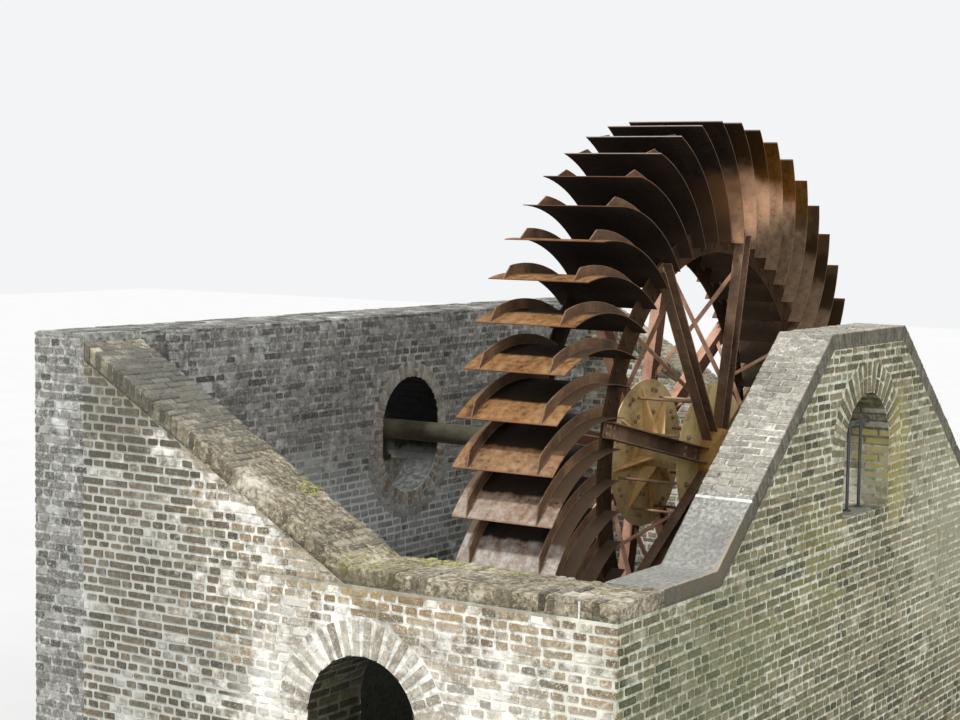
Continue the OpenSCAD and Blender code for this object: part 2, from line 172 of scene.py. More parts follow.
class Shader:
    """Writes one tree of nodes, one call for each node."""

    def __init__(self, owner: bpy.types.Material | bpy.types.World) -> None:
        """Empties the tree of a material or world."""
        self.owner = owner
        owner.use_nodes = True
        self.tree = owner.node_tree
        self.tree.nodes.clear()

    def feed(self, socket: bpy.types.NodeSocket, value: Value) -> None:
        """Links a wire to an input, or writes a plain value on it."""
        if isinstance(value, Wire):
            self.tree.links.new(value.socket, socket)
        elif socket.type == "RGBA" and len(value) == 3:
            socket.default_value = (*value, 1.0)
        else:
            socket.default_value = value

    def node(self, kind: str, inputs: dict | None = None, out: int | str = 0,
             **settings) -> Wire:
        """Adds a node.

        Args:
            kind: Type of the node, after its ShaderNode.
            inputs: Input name or number, and what feeds it.
            out: Name or number of the output that is wanted.
            settings: Properties of the node.

        Returns:
            That output.
        """
        made = self.tree.nodes.new("ShaderNode" + kind)
        for key, value in settings.items():
            setattr(made, key, value)
        for key, value in (inputs or {}).items():
            self.feed(made.inputs[key], value)
        return Wire(self, made.outputs[out])

    def close(self, kind: str, surface: Wire) -> None:
        """Ends the tree in its output node."""
        self.feed(self.tree.nodes.new("ShaderNode" + kind).inputs[0], surface)

    def coords(self) -> Wire:
        """Gives the place on the piece, in metres."""
        return self.node("TexCoord", out="Object")

    def normal(self) -> Wire:
        """Gives the direction a surface faces on the piece."""
        return self.node("TexCoord", out="Normal")

    def way(self, axis: int) -> Wire:
        """Gives how squarely a surface faces along an axis, 0 for X and 1 for Y."""
        return self.maths("ABSOLUTE", self.split(self.normal())[axis])

    def soft(self, radius: float) -> Wire:
        """Gives the direction a surface faces with its edges rounded off."""
        return self.node("Bevel", {"Radius": radius}, samples=4)

    def split(self, vector: Wire) -> list[Wire]:
        """Splits a vector or colour into its three numbers."""
        parts = self.node("SeparateXYZ", {0: vector}).socket.node.outputs
        return [Wire(self, part) for part in parts]

    def join(self, x: Value, y: Value, z: Value) -> Wire:
        """Joins three numbers into a vector."""
        return self.node("CombineXYZ", {0: x, 1: y, 2: z})

    def vector(self, op: str, a: Value, b: Value = (0.0, 0.0, 0.0)) -> Wire:
        """Gives a vector sum, product or the like."""
        out = "Value" if op in ("LENGTH", "DOT_PRODUCT") else "Vector"
        return self.node("VectorMath", {0: a, 1: b}, out, operation=op)

    def maths(self, op: str, a: Value, b: Value = 0.0, clamp: bool = False) -> Wire:
        """Gives the result of one sum."""
        return self.node("Math", {0: a, 1: b}, operation=op, use_clamp=clamp)

    def noise(self, scale: float, detail: float = 3.0, place: Wire | None = None,
              rough: float = 0.55, warp: float = 0.0) -> Wire:
        """Gives a cloudy pattern between 0 and 1.

        Args:
            scale: Cells in a metre.
            detail: Number of finer layers.
            place: Place to read it at, the piece's own where it is None.
            rough: Strength of the finer layers.
            warp: How far the pattern is bent.

        Returns:
            The pattern.
        """
        return self.node("TexNoise", {
            "Vector": place or self.coords(), "Scale": scale, "Detail": detail,
            "Roughness": rough, "Distortion": warp})

    def mix(self, amount: Value, a: Value, b: Value, blend: str = "MIX") -> Wire:
        """Mixes the second colour into the first."""
        return self.node("Mix", {0: amount, 6: a, 7: b}, 2, data_type="RGBA",
                         blend_type=blend, clamp_factor=True)

    def edges(self, radius: float) -> Wire:
        """Gives 1 at edges worn over that radius and 0 on open faces."""
        true = self.node("NewGeometry", out="Normal")
        return self.vector("DOT_PRODUCT", self.soft(radius), true).span(0.985, 0.86)

    def finish(self, colour: Value, rough: Value, height: Wire, depth: float,
               strength: float = 0.6, round_off: float = 0.0,
               gloss: float = 0.25) -> bpy.types.Material:
        """Closes the material with its shader.

        Args:
            colour: Surface colour.
            rough: Roughness.
            height: Height pattern of the bump.
            depth: Depth of the bump.
            strength: Strength of the bump.
            round_off: Radius by which edges look rounded.
            gloss: Strength of the reflection.

        Returns:
            The material.
        """
        inputs = {"Strength": strength, "Distance": depth, "Height": height}
        if round_off > 0.0:
            inputs["Normal"] = self.soft(round_off)
        self.close("OutputMaterial", self.node("BsdfPrincipled", {
            "Base Color": colour, "Roughness": rough, "Specular IOR Level": gloss,
            "Normal": self.node("Bump", inputs)}))
        return self.owner


@dataclass(frozen=True)
class Stain:
    """A patch where a surface has weathered differently.

    Attributes:
        centre: Middle of the patch.
        reach: Half its length along each axis.
        colour: Colour it turns to.
        amount: Strength in the middle.
        flecked: Whether it comes in small flecks.
        lean: Angle by which it slopes down towards the outer wall.
    """

    centre: Spot
    reach: Spot
    colour: Colour
    amount: float
    flecked: bool = False
    lean: float = 0.0

    def lay(self, s: Shader, colour: Wire, breaks: Wire, smear: Wire) -> Wire:
        """Lays the patch over a colour.

        Args:
            s: Material in hand.
            colour: Colour under the patch.
            breaks: Cloudy pattern that frays the patch.
            smear: Fine pattern of the flecks.

        Returns:
            The new colour.
        """
        off = s.vector("SUBTRACT", s.coords(), self.centre)
        if self.lean:
            off = s.node("VectorRotate", {"Vector": off, "Angle": -self.lean},
                         rotation_type="Y_AXIS")
        far = s.vector("LENGTH", s.vector("DIVIDE", off, self.reach))
        mask = (far + breaks).span(1.45, 0.75, 0.0, self.amount)
        if self.flecked:
            mask = mask * smear.span(0.5, 0.57)
        return s.mix(mask, colour, self.colour)


@dataclass(frozen=True)
class Lining:
    """Look of the faces inside an opening.

    Attributes:
        axis: Axis that the wall itself faces, 0 for X and 1 for Y.
        low: Colour of the lower part.
        high: Colour of the upper part, dark with painted shade.
        level: Height where one turns into the other.
        amount: Strength.
        back: Place along the axis behind which shade is painted, where there is one.
        whole: Whether it covers the piece whichever way its faces look.
    """

    axis: int
    low: Colour
    high: Colour
    level: float
    amount: float = 0.9
    back: float | None = None
    whole: bool = False

    def lay(self, s: Shader, colour: Wire, blotch: Wire) -> Wire:
        """Lays the lining over a colour.

        Args:
            s: Material in hand.
            colour: Colour of the wall.
            blotch: Cloudy pattern that mottles it.

        Returns:
            The new colour.
        """
        spot = s.split(s.coords())
        height = spot[2] + blotch * 0.25
        tint = s.mix(height.span(self.level, self.level + 0.25), self.low, self.high)
        mottle = s.mix(blotch.span(0.42, 0.6, 0.0, 0.8), (0.45, 0.45, 0.45), (1.0, 1.0, 1.0))
        tint = s.mix(1.0, tint, mottle, "MULTIPLY")
        if self.back is not None:
            shade = spot[self.axis].span(self.back, self.back + 0.24, 0.06, 1.0)
            tint = s.mix(1.0, tint, s.join(shade, shade, shade), "MULTIPLY")
        if self.whole:
            return tint
        return s.mix(s.way(self.axis).span(0.6, 0.4, 0.0, self.amount), colour, tint)


@dataclass(frozen=True)
class MasonryFinish:
    """Brick or mortar, with lime, moss and dirt in patches.

    Attributes:
        name: Name of the material.
        tones: Colours from the darkest brick to the palest.
        lime: Colour of the lime bloom.
        lime_share: Share of the surface under lime.
        stains: Weathered patches.
        by_brick: Whether each brick has a tone of its own.
        sides: What darkens the upright sides, where they differ from the top: dirt, and on the
            outer coping also painted shade.
        side_axis: Axis that those sides face, 0 for X and 1 for Y.
        grain: Blotches in a metre.
        lining: Look of the faces inside openings, with painted shade.
        depth: Depth of the bump.
    """

    name: str
    tones: tuple[Colour, ...]
    lime: Colour
    lime_share: float
    stains: tuple[Stain, ...] = ()
    by_brick: bool = True
    sides: Colour | None = None
    side_axis: int = 0
    grain: float = 17.0
    lining: Lining | None = None
    depth: float = 0.004

    def material(self) -> bpy.types.Material:
        """Builds the material."""
        s = Shader(bpy.data.materials.new(self.name))
        cloud = s.noise(2.1, 4.0)
        blotch = s.noise(self.grain, 4.0, rough=0.62)
        speck = s.noise(95.0, 3.0, rough=0.7)
        smear = s.noise(42.0, 5.0, rough=0.7)
        if self.by_brick:
            tone, own, _ = s.split(s.node("Attribute", out="Color", attribute_name="tone"))
            place = tone * 0.86 + blotch * 0.14
        else:
            own = s.noise(5.0, 2.0)
            place = (cloud * 0.45 + blotch * 0.55).span(0.34, 0.66)
        steps = len(self.tones) - 1
        colour = place.ramp(*((0.08 + 0.84 * i / steps, shade)
                              for i, shade in enumerate(self.tones)))
        colour = s.mix(blotch.span(0.66, 0.36, 0.0, 0.42), colour, (0.3, 0.29, 0.27),
                       "MULTIPLY")
        colour = s.mix(speck.span(0.52, 0.74, 0.0, 0.5), colour, self.lime)
        colour = s.mix(smear.span(0.55, 0.63, 0.0, 1.1 * self.lime_share), colour, self.lime)
        colour = s.mix(smear.span(0.45, 0.36, 0.0, 0.5), colour, (0.42, 0.4, 0.36),
                       "MULTIPLY")
        edge = 1.22 - 0.62 * self.lime_share
        bloom = cloud + own * 0.35 + blotch * 0.35
        colour = s.mix(bloom.span(edge - 0.1, edge + 0.16, 0.0, 0.85), colour, self.lime)
        breaks = (blotch + cloud + own) * 0.62 - 0.55
        for stain in self.stains:
            colour = stain.lay(s, colour, breaks, smear)
        if self.sides is not None:
            colour = s.mix(s.way(self.side_axis).span(0.5, 0.8), colour, self.sides,
                           "MULTIPLY")
        if self.lining is not None:
            colour = self.lining.lay(s, colour, blotch)
        pits = s.node("TexVoronoi", {"Vector": s.coords(), "Scale": 70.0}, "Distance")
        height = blotch * 0.8 + (speck + pits * 0.5)
        return s.finish(colour, speck.span(0.3, 0.7, 0.82, 0.97), height, self.depth, 0.7)


@dataclass(frozen=True)
class RustFinish:
    """Rusted steel with streaks, scale and worn edges, the edges lightened as wear and as a
    painted highlight.

    Attributes:
        name: Name of the material.
        dark: Oldest rust.
        mid: Common rust.
        bright: Fresh rust.
        rim: Colour of worn edges, which also paints a highlight along them.
        balance: Share of the brighter rust, 0 to 1.
        run: How much longer than wide the streaks are, along each axis.
        moss: Olive film, where there is one.
        moss_share: Share of the surface under it.
        web_shade: Painted shade on the faces along the shaft, where there is one.
        gloss: Strength of the reflection.
    """

    name: str
    dark: Colour
    mid: Colour
    bright: Colour
    rim: Colour
    balance: float = 0.5
    run: Spot = (1.0, 1.0, 1.0)
    moss: Colour = (0.12, 0.11, 0.05)
    moss_share: float = 0.0
    web_shade: Colour | None = None
    gloss: float = 0.18

    def material(self) -> bpy.types.Material:
        """Builds the material."""
        s = Shader(bpy.data.materials.new(self.name))
        cloud = s.noise(2.7, 5.0, rough=0.6)
        scale = s.noise(38.0, 4.0, rough=0.65)
        grit = s.noise(170.0, 2.0)
        streak = s.noise(6.0, 4.0, s.vector("MULTIPLY", s.coords(), self.run))
        heap = cloud * 0.4 + (streak * 0.4 + scale * 0.2)
        shift = 0.12 * (0.5 - self.balance)
        colour = heap.ramp((0.36 + shift, self.dark), (0.5 + shift, self.mid),
                           (0.62 + shift, self.bright))
        if self.moss_share > 0.0:
            less = 0.3 * self.moss_share
            film = s.noise(4.5, 4.0, rough=0.7).span(0.68 - less, 0.78 - less, 0.0, 0.8)
            colour = s.mix(film, colour, self.moss)
        if self.web_shade is not None:
            # Painted shade on the faces that look along the shaft.
            colour = s.mix(s.way(0).span(0.6, 0.8), colour, self.web_shade, "MULTIPLY")
        colour = s.mix(grit.span(0.62, 0.78, 0.0, 0.35), colour, self.rim)
        # Worn edges: wear, and a painted highlight along them.
        worn = s.edges(0.007) * scale.span(0.25, 0.6, 0.3, 0.85)
        colour = s.mix(worn, colour, self.rim)
        return s.finish(colour, heap.span(0.35, 0.6, 0.55, 0.88), scale + grit * 0.4,
                        0.0022, 0.55, 0.003, self.gloss)


@dataclass(frozen=True)
class BladeFinish:
    """Rust of the blades, which differs round the wheel and on each face.

    The round faces are orange brown, with a pale bloom low at the front, and turn
    dark towards the root with wet and painted shade. The hollow faces carry wet
    and painted shade, near black, and painted sunlight, salmon, where the sun mask is high.
    """

    name: str
    # Darkest colour of the hollow faces: painted shade and wet.
    hollow: Colour = (0.01, 0.007, 0.005)

    def material(self) -> bpy.types.Material:
        """Builds the material."""
        s = Shader(bpy.data.materials.new(self.name))
        x, y, z = s.split(s.vector("SUBTRACT", s.coords(), AXLE))
        radius = s.vector("LENGTH", s.join(0.0, y, z))
        turn = s.maths("ARCTAN2", z, y)
        around = s.vector("NORMALIZE", s.join(0.0, z * -1.0, y))
        inner = s.vector("DOT_PRODUCT", s.normal(), around)
        streak = s.noise(1.0, 5.0, s.join(x * 8.0, radius * 1.7, turn * 9.0), 0.65, 0.35)
        cloud = s.noise(1.7, 6.0, rough=0.62)
        scale = s.noise(21.0, 6.0, rough=0.72)
        grit = s.noise(170.0, 2.0)
        heap = streak * 0.3 + (cloud * 0.25 + scale * 0.45)
        # Round faces
        outer = heap.ramp((0.4, (0.05, 0.022, 0.01)), (0.46, (0.17, 0.08, 0.029)),
                          (0.51, (0.24, 0.124, 0.048)), (0.58, (0.31, 0.18, 0.088)))
        bloom = heap.ramp((0.4, (0.11, 0.055, 0.032)), (0.46, (0.27, 0.195, 0.145)),
                          (0.52, (0.35, 0.3, 0.255)), (0.57, (0.47, 0.43, 0.39)))
        low = (z + streak * 0.7).span(0.8, -0.1)
        outer = s.mix(low * y.span(-0.7, -1.7), outer, bloom)
        # Painted shade and wet: the round faces go dark towards the root, where the blade above
        # shades them, and near black between the rings.
        soaked_and_shaded = (radius + streak * 0.06).span(2.47, 2.443, 0.0, 0.94)
        between = s.maths("ABSOLUTE", x).span(0.31, 0.27)
        outer = s.mix(soaked_and_shaded * (1.0 - between), outer, (0.15, 0.1, 0.062))
        outer = s.mix(soaked_and_shaded * between, outer, (0.01, 0.006, 0.004))
        # Hollow faces
        # Painted sunlight and shade: the salmon ramp stands for the sunlit patch, the brown
        # ramp below it for the shaded part.
        dry_and_sunlit = heap.ramp((0.38, (0.28, 0.152, 0.088)), (0.47, (0.52, 0.292, 0.172)),
                        (0.58, (0.69, 0.405, 0.25)))
        dull_and_shaded = heap.ramp((0.38, (0.09, 0.058, 0.036)), (0.47, (0.19, 0.124, 0.074)),
                         (0.58, (0.28, 0.187, 0.116)))
        dry_and_sunlit = s.mix((turn + (radius - 2.1) * 0.6).span(1.22, 1.04), dry_and_sunlit, dull_and_shaded)
        # Painted shade: the tips turn darker, near black towards the top of the wheel.
        tip = heap.ramp((0.38, (0.034, 0.014, 0.002)), (0.56, (0.135, 0.054, 0.006)))
        tip = s.mix(turn.span(1.22, 1.34, 0.0, 0.9), tip, (0.026, 0.012, 0.003))
        reach = radius + cloud * 0.5
        dry_and_sunlit = s.mix(reach.span(2.48, 2.66), dry_and_sunlit, tip)
        # Painted shadow of the next blade's tip, and wet: a black band part way out on the
        # hollow faces.
        dark_and_shaded_band = reach.span(2.49, 2.59) * reach.span(2.9, 2.81)
        dry_and_sunlit = s.mix(dark_and_shaded_band * turn.span(1.02, 0.84, 0.0, 0.88), dry_and_sunlit, (0.024, 0.015, 0.007))
        # Painted shade and wet: the hollow faces are near black where the sun mask is low, with
        # orange rust at their outer edge high up.
        wet_and_shaded = heap.ramp((0.38, self.hollow), (0.66, (0.035, 0.02, 0.012)))
        wet_and_shaded = s.mix(turn.span(1.83, 1.48) * reach.span(2.5, 2.38), wet_and_shaded,
                    (0.215, 0.103, 0.042))
        # Mask of painted sunlight on the hollow faces.
        sun = (y - z * 0.16 + cloud * 0.5).span(-0.05, 0.3)
        hollow = inner.span(-0.12, 0.12)
        colour = s.mix(hollow, outer, s.mix(sun, wet_and_shaded, dry_and_sunlit))
        # Both faces
        # Painted shade: the roots darken towards the rings, except on the sunlit hollow faces
        # outside them.
        open_side = sun * s.maths("SUBTRACT", hollow, between, True)
        foot = radius.span(2.0, 1.76, 0.0, 0.72) * (1.0 - open_side)
        colour = s.mix(foot, colour, (0.05, 0.03, 0.02))
        fleck = grit.span(0.64, 0.8, 0.0, 0.3) * inner.span(0.1, -0.1)
        colour = s.mix(fleck, colour, (0.45, 0.28, 0.17))
        # Painted glint: a pale line along the tip edge high on the wheel, with a brown lip
        # lower down.
        lip_and_glint = s.mix(z.span(2.15, 2.42), (0.2, 0.085, 0.045), (0.7, 0.62, 0.6))
        colour = s.mix(radius.span(2.588, 2.598, 0.0, 0.6), colour, lip_and_glint)
        worn = s.edges(0.006) * scale.span(0.3, 0.6, 0.2, 0.7)
        colour = s.mix(worn, colour, (0.23, 0.118, 0.064))
        height = streak * 0.6 + (scale + grit * 0.3)
        return s.finish(colour, heap.span(0.36, 0.58, 0.52, 0.86), height, 0.0028, 0.6,
                        0.002, 0.12)


def wall_finishes() -> list[MasonryFinish]:
    """Gives the finishes of the end walls, the outer wall and the pier."""
    lime, grime_and_shade = (0.92, 0.9, 0.83), (0.1, 0.09, 0.065)
    # Painted shadow of a building that is not modelled, over some grime: the shadow stains
    # darken the bricks and mortar on the left of the front wall.
    shadow = ((-1.35, -3.78, 1.9), (2.7, 0.7, 1.18))
    steep = math.radians(72.0)
    front = (
        # Grime and painted shade high on the left of the front wall, under the sloping coping.
        Stain((-1.45, -3.78, 3.3), (0.9, 0.7, 0.6), grime_and_shade, 0.6),
        Stain(*shadow, (0.068, 0.064, 0.05), 0.7, lean=steep),
        Stain((0.9, -3.78, 2.2), (0.75, 0.5, 0.09), (0.4, 0.26, 0.12), 0.4),
        Stain((0.45, -3.78, 2.23), (0.4, 0.5, 0.09), (0.34, 0.33, 0.1), 0.55, True))
    bloom = (
        Stain((0.1, -3.78, 1.15), (0.45, 0.7, 1.05), lime, 0.6),
        Stain((1.6, -3.78, 1.3), (0.9, 0.7, 0.8), lime, 0.22))
    # Mortar darkened by painted shadow and grime on the left of the front wall.
    dull_and_shaded = (
        Stain(*shadow, (0.42, 0.43, 0.39), 0.86, lean=steep),
        Stain((-1.45, -3.78, 3.3), (0.8, 0.7, 0.5), (0.24, 0.245, 0.21), 0.8))
    beds = tuple(
        Stain((x, 0.0, z), (along, 12.0, 0.06), (0.27, 0.245, 0.175), 0.85, lean=lean)
        for x, z, along, lean in ((1.35, 2.27, 3.0, 0.0), (-0.683, 2.94, 4.5, RISE_A)))
    inner = (Stain((0.9, 0.0, 0.1), (2.4, 3.4, 1.25), (0.085, 0.09, 0.06), 0.85),)
    by_hatch = ((2.48, 0.62, 2.78), (0.2, 0.24, 0.62))
    lichen = (
        Stain(*by_hatch, (0.36, 0.29, 0.07), 0.55),
        Stain((2.48, -0.75, 2.35), (0.2, 0.55, 0.4), (0.3, 0.27, 0.08), 0.35),
        Stain((2.48, -1.5, 1.8), (0.2, 1.4, 0.4), (0.24, 0.22, 0.08), 0.35))
    bleached = (Stain((2.48, 2.1, 2.3), (0.2, 1.5, 1.3), (0.46, 0.44, 0.3), 0.52),)
    algae = (Stain((2.48, -2.6, 1.75), (0.2, 1.5, 0.9), (0.12, 0.15, 0.07), 0.3),)
    yellowed = (Stain(*by_hatch, (0.42, 0.38, 0.16), 0.4),)
    corner = tuple(Stain((2.22, y, 1.1), (0.5, 0.075, 2.4), (0.8, 0.78, 0.69), 1.0)
                   for y in (-3.815, 3.815))
    joint = ((0.38, 0.38, 0.27), (0.56, 0.57, 0.44), (0.68, 0.69, 0.56))
    pale, yellow = (0.76, 0.77, 0.66), (0.56, 0.47, 0.12)
    return [
        MasonryFinish("front_brick", (
            (0.15, 0.115, 0.07), (0.24, 0.184, 0.114), (0.32, 0.246, 0.15),
            (0.39, 0.302, 0.19), (0.5, 0.43, 0.315)), lime, 0.4, front + inner + bloom),
        MasonryFinish("front_mortar", (
            (0.56, 0.54, 0.46), (0.76, 0.74, 0.66), (0.9, 0.88, 0.81)), lime, 0.5,
            front[3:] + inner + dull_and_shaded + beds, False,
            # Painted shade: the faces inside the culverts are near black.
            lining=Lining(1, (0.05, 0.046, 0.02), (0.04, 0.036, 0.01), 1.0)),
        MasonryFinish("white_joint", (
            (0.62, 0.6, 0.53), (0.78, 0.76, 0.69), (0.9, 0.88, 0.81)), lime, 0.4, (),
            False),
        MasonryFinish("arch_brick", (
            (0.28, 0.24, 0.175), (0.38, 0.335, 0.26), (0.48, 0.435, 0.35),
            (0.59, 0.55, 0.465)), lime, 0.3),
        # Culvert soffits near black: wet brick and painted shade.
        MasonryFinish("wet_shaded_brick", (
            (0.012, 0.012, 0.006), (0.032, 0.03, 0.014), (0.06, 0.055, 0.026),
            (0.11, 0.1, 0.05)), (0.18, 0.18, 0.1), 0.08),
        MasonryFinish("outer_brick", (
            (0.07, 0.066, 0.034), (0.13, 0.118, 0.062), (0.19, 0.165, 0.088),
            (0.25, 0.21, 0.115), (0.31, 0.27, 0.17)), (0.6, 0.6, 0.46), 0.16,
            lichen + bleached + algae + inner),
        MasonryFinish("outer_mortar", joint, pale, 0.35,
                      yellowed + algae + inner + corner, False),
        # Painted shade: the faces inside the hatch turn dark from the spring of the arch up.
        MasonryFinish("hatch_mortar", joint, pale, 0.35, yellowed, False, lining=Lining(
            0, (0.46, 0.44, 0.3), (0.085, 0.085, 0.018), 2.95, 0.8)),
        MasonryFinish("hatch_brick", (
            (0.2, 0.185, 0.12), (0.33, 0.31, 0.22), (0.44, 0.42, 0.33),
            (0.52, 0.5, 0.42)), (0.7, 0.68, 0.58), 0.25, (
            Stain((2.34, 0.44, 2.84), (0.22, 0.15, 0.26), yellow, 0.7),
            Stain((2.4, 0.44, 2.5), (0.1, 0.15, 0.25), yellow, 0.3),
            # Painted sunlight: a pale pink patch low on the jamb, deep in the opening.
            Stain((2.2, 0.44, 2.5), (0.22, 0.15, 0.25), (0.62, 0.54, 0.46), 0.75),
            # Painted shade: near black high in the hatch, under its arch.
            Stain((2.28, 0.0, 3.3), (0.45, 0.5, 0.36), (0.06, 0.06, 0.012), 1.0))),
        MasonryFinish("eye_brick", (
            (0.23, 0.195, 0.15), (0.33, 0.29, 0.23), (0.42, 0.38, 0.31),
            (0.48, 0.45, 0.39)), (0.62, 0.6, 0.55), 0.2, inner),
        # The eye's own mortar takes the same painted shade inside the opening.
        MasonryFinish("eye_mortar", (
            (0.3, 0.29, 0.25), (0.44, 0.43, 0.38), (0.58, 0.57, 0.52)),
            (0.7, 0.69, 0.64), 0.3, inner, False, lining=eye_lining((0.95, 0.97, 0.93))),
    ]


def eye_lining(low: Colour, whole: bool = False) -> Lining:
    """Gives the lining of the eye, painted shade that is black at the back and the top."""
    return Lining(0, low, (0.004, 0.005, 0.004), 2.48, 1.0, MILL_BACK + 0.06, whole)


def mill_finishes() -> list[MasonryFinish]:
    """Gives the finishes of the mill wall and of what lies in it."""
    mill = ((-1.64, -1.2, 1.95), (0.5, 2.6, 0.8))
    deep = ((0.9, 0.0, 0.1), (2.4, 3.4, 1.25))
    # Painted shade: the low part of the mill wall, deep in the pit, is near black.
    deep_shade = Stain((-1.64, 0.0, 0.3), (0.5, 4.5, 1.6), (0.018, 0.019, 0.013), 0.93)
    return [
        MasonryFinish("mill_brick", (
            (0.094, 0.09, 0.078), (0.158, 0.148, 0.13), (0.215, 0.203, 0.182),
            (0.28, 0.265, 0.24), (0.4, 0.388, 0.362)), (0.68, 0.69, 0.67), 0.26, (
            Stain(*deep, (0.085, 0.09, 0.06), 0.5),
            Stain(*mill, (0.46, 0.49, 0.48), 0.6), deep_shade)),
        MasonryFinish("mill_mortar", (
            (0.22, 0.22, 0.2), (0.37, 0.37, 0.34), (0.56, 0.56, 0.53)),
            (0.76, 0.77, 0.74), 0.3, (
            Stain(*deep, (0.2, 0.205, 0.17), 0.6),
            Stain(*mill, (0.8, 0.83, 0.82), 0.8), deep_shade), False),
        # Painted shade: the eye's reveal takes the lining's colours whole, pale low down and
        # black at the back and the top.
        MasonryFinish("eye_reveal_shaded_brick", (
            (0.3, 0.315, 0.295), (0.43, 0.45, 0.425), (0.55, 0.56, 0.53)),
            (0.7, 0.68, 0.6), 0.2, lining=eye_lining((0.86, 0.89, 0.85), True)),
        MasonryFinish("padstone", (
            (0.24, 0.23, 0.19), (0.36, 0.35, 0.3), (0.46, 0.45, 0.4)),
            (0.55, 0.54, 0.5), 0.2, (), False),
    ]


def coping_finishes() -> list[MasonryFinish]:
    """Gives the finishes of the copings."""
    # The sides of the outer coping are darkened by dirt and painted shade.
    green, dark_and_shaded_band = (0.5, 0.5, 0.1), (0.36, 0.36, 0.32)
    dirt = (
        Stain((-1.3, -3.5, 3.4), (1.0, 0.9, 0.6), (0.12, 0.121, 0.108), 0.72),
        Stain((0.62, -3.8, 2.33), (0.5, 0.07, 0.1), (0.13, 0.115, 0.06), 0.65),
        Stain((1.0, -3.24, 2.41), (0.62, 0.2, 0.06), green, 0.95, True),
        Stain((0.62, -3.6, 2.42), (0.3, 0.3, 0.07), green, 0.55, True),
        Stain((-0.1, -3.3, 2.8), (0.14, 0.12, 0.1), green, 0.9, True))
    level = tuple(Stain((x, y * side, z), reach, colour, amount)
                  for x, y, z, reach, colour, amount in (
                      (2.27, 2.62, 2.45, (1.5, 1.15, 1.1), (0.165, 0.168, 0.158), 0.64),
                      (2.49, 2.7, 2.52, (0.05, 0.9, 0.4), (0.44, 0.35, 0.24), 0.6))
                  for side in (-1, 1))
    return [
        MasonryFinish("coping_brick", (
            (0.26, 0.24, 0.197), (0.32, 0.296, 0.246), (0.372, 0.343, 0.286),
            (0.42, 0.388, 0.325), (0.495, 0.46, 0.392)), (0.74, 0.71, 0.63), 0.16, (),
            True, dark_and_shaded_band, grain=26.0),
        MasonryFinish("coping_joint", (
            (0.3, 0.288, 0.25), (0.47, 0.448, 0.39), (0.66, 0.632, 0.56)),
            (0.76, 0.74, 0.67), 0.3, level, False, dark_and_shaded_band, grain=36.0),
        MasonryFinish("end_coping_brick", (
            (0.125, 0.112, 0.082), (0.2, 0.178, 0.13), (0.265, 0.236, 0.175),
            (0.335, 0.298, 0.222), (0.43, 0.385, 0.295)), (0.62, 0.58, 0.48), 0.3, dirt,
            True, (0.66, 0.63, 0.56), 1, 26.0, depth=0.008),
        MasonryFinish("end_coping_cement", (
            (0.13, 0.11, 0.07), (0.235, 0.2, 0.132), (0.33, 0.285, 0.195),
            (0.48, 0.43, 0.325)), (0.76, 0.71, 0.59), 0.34, dirt, False,
            (0.98, 0.97, 0.95), 1, 27.0, depth=0.009),
    ]


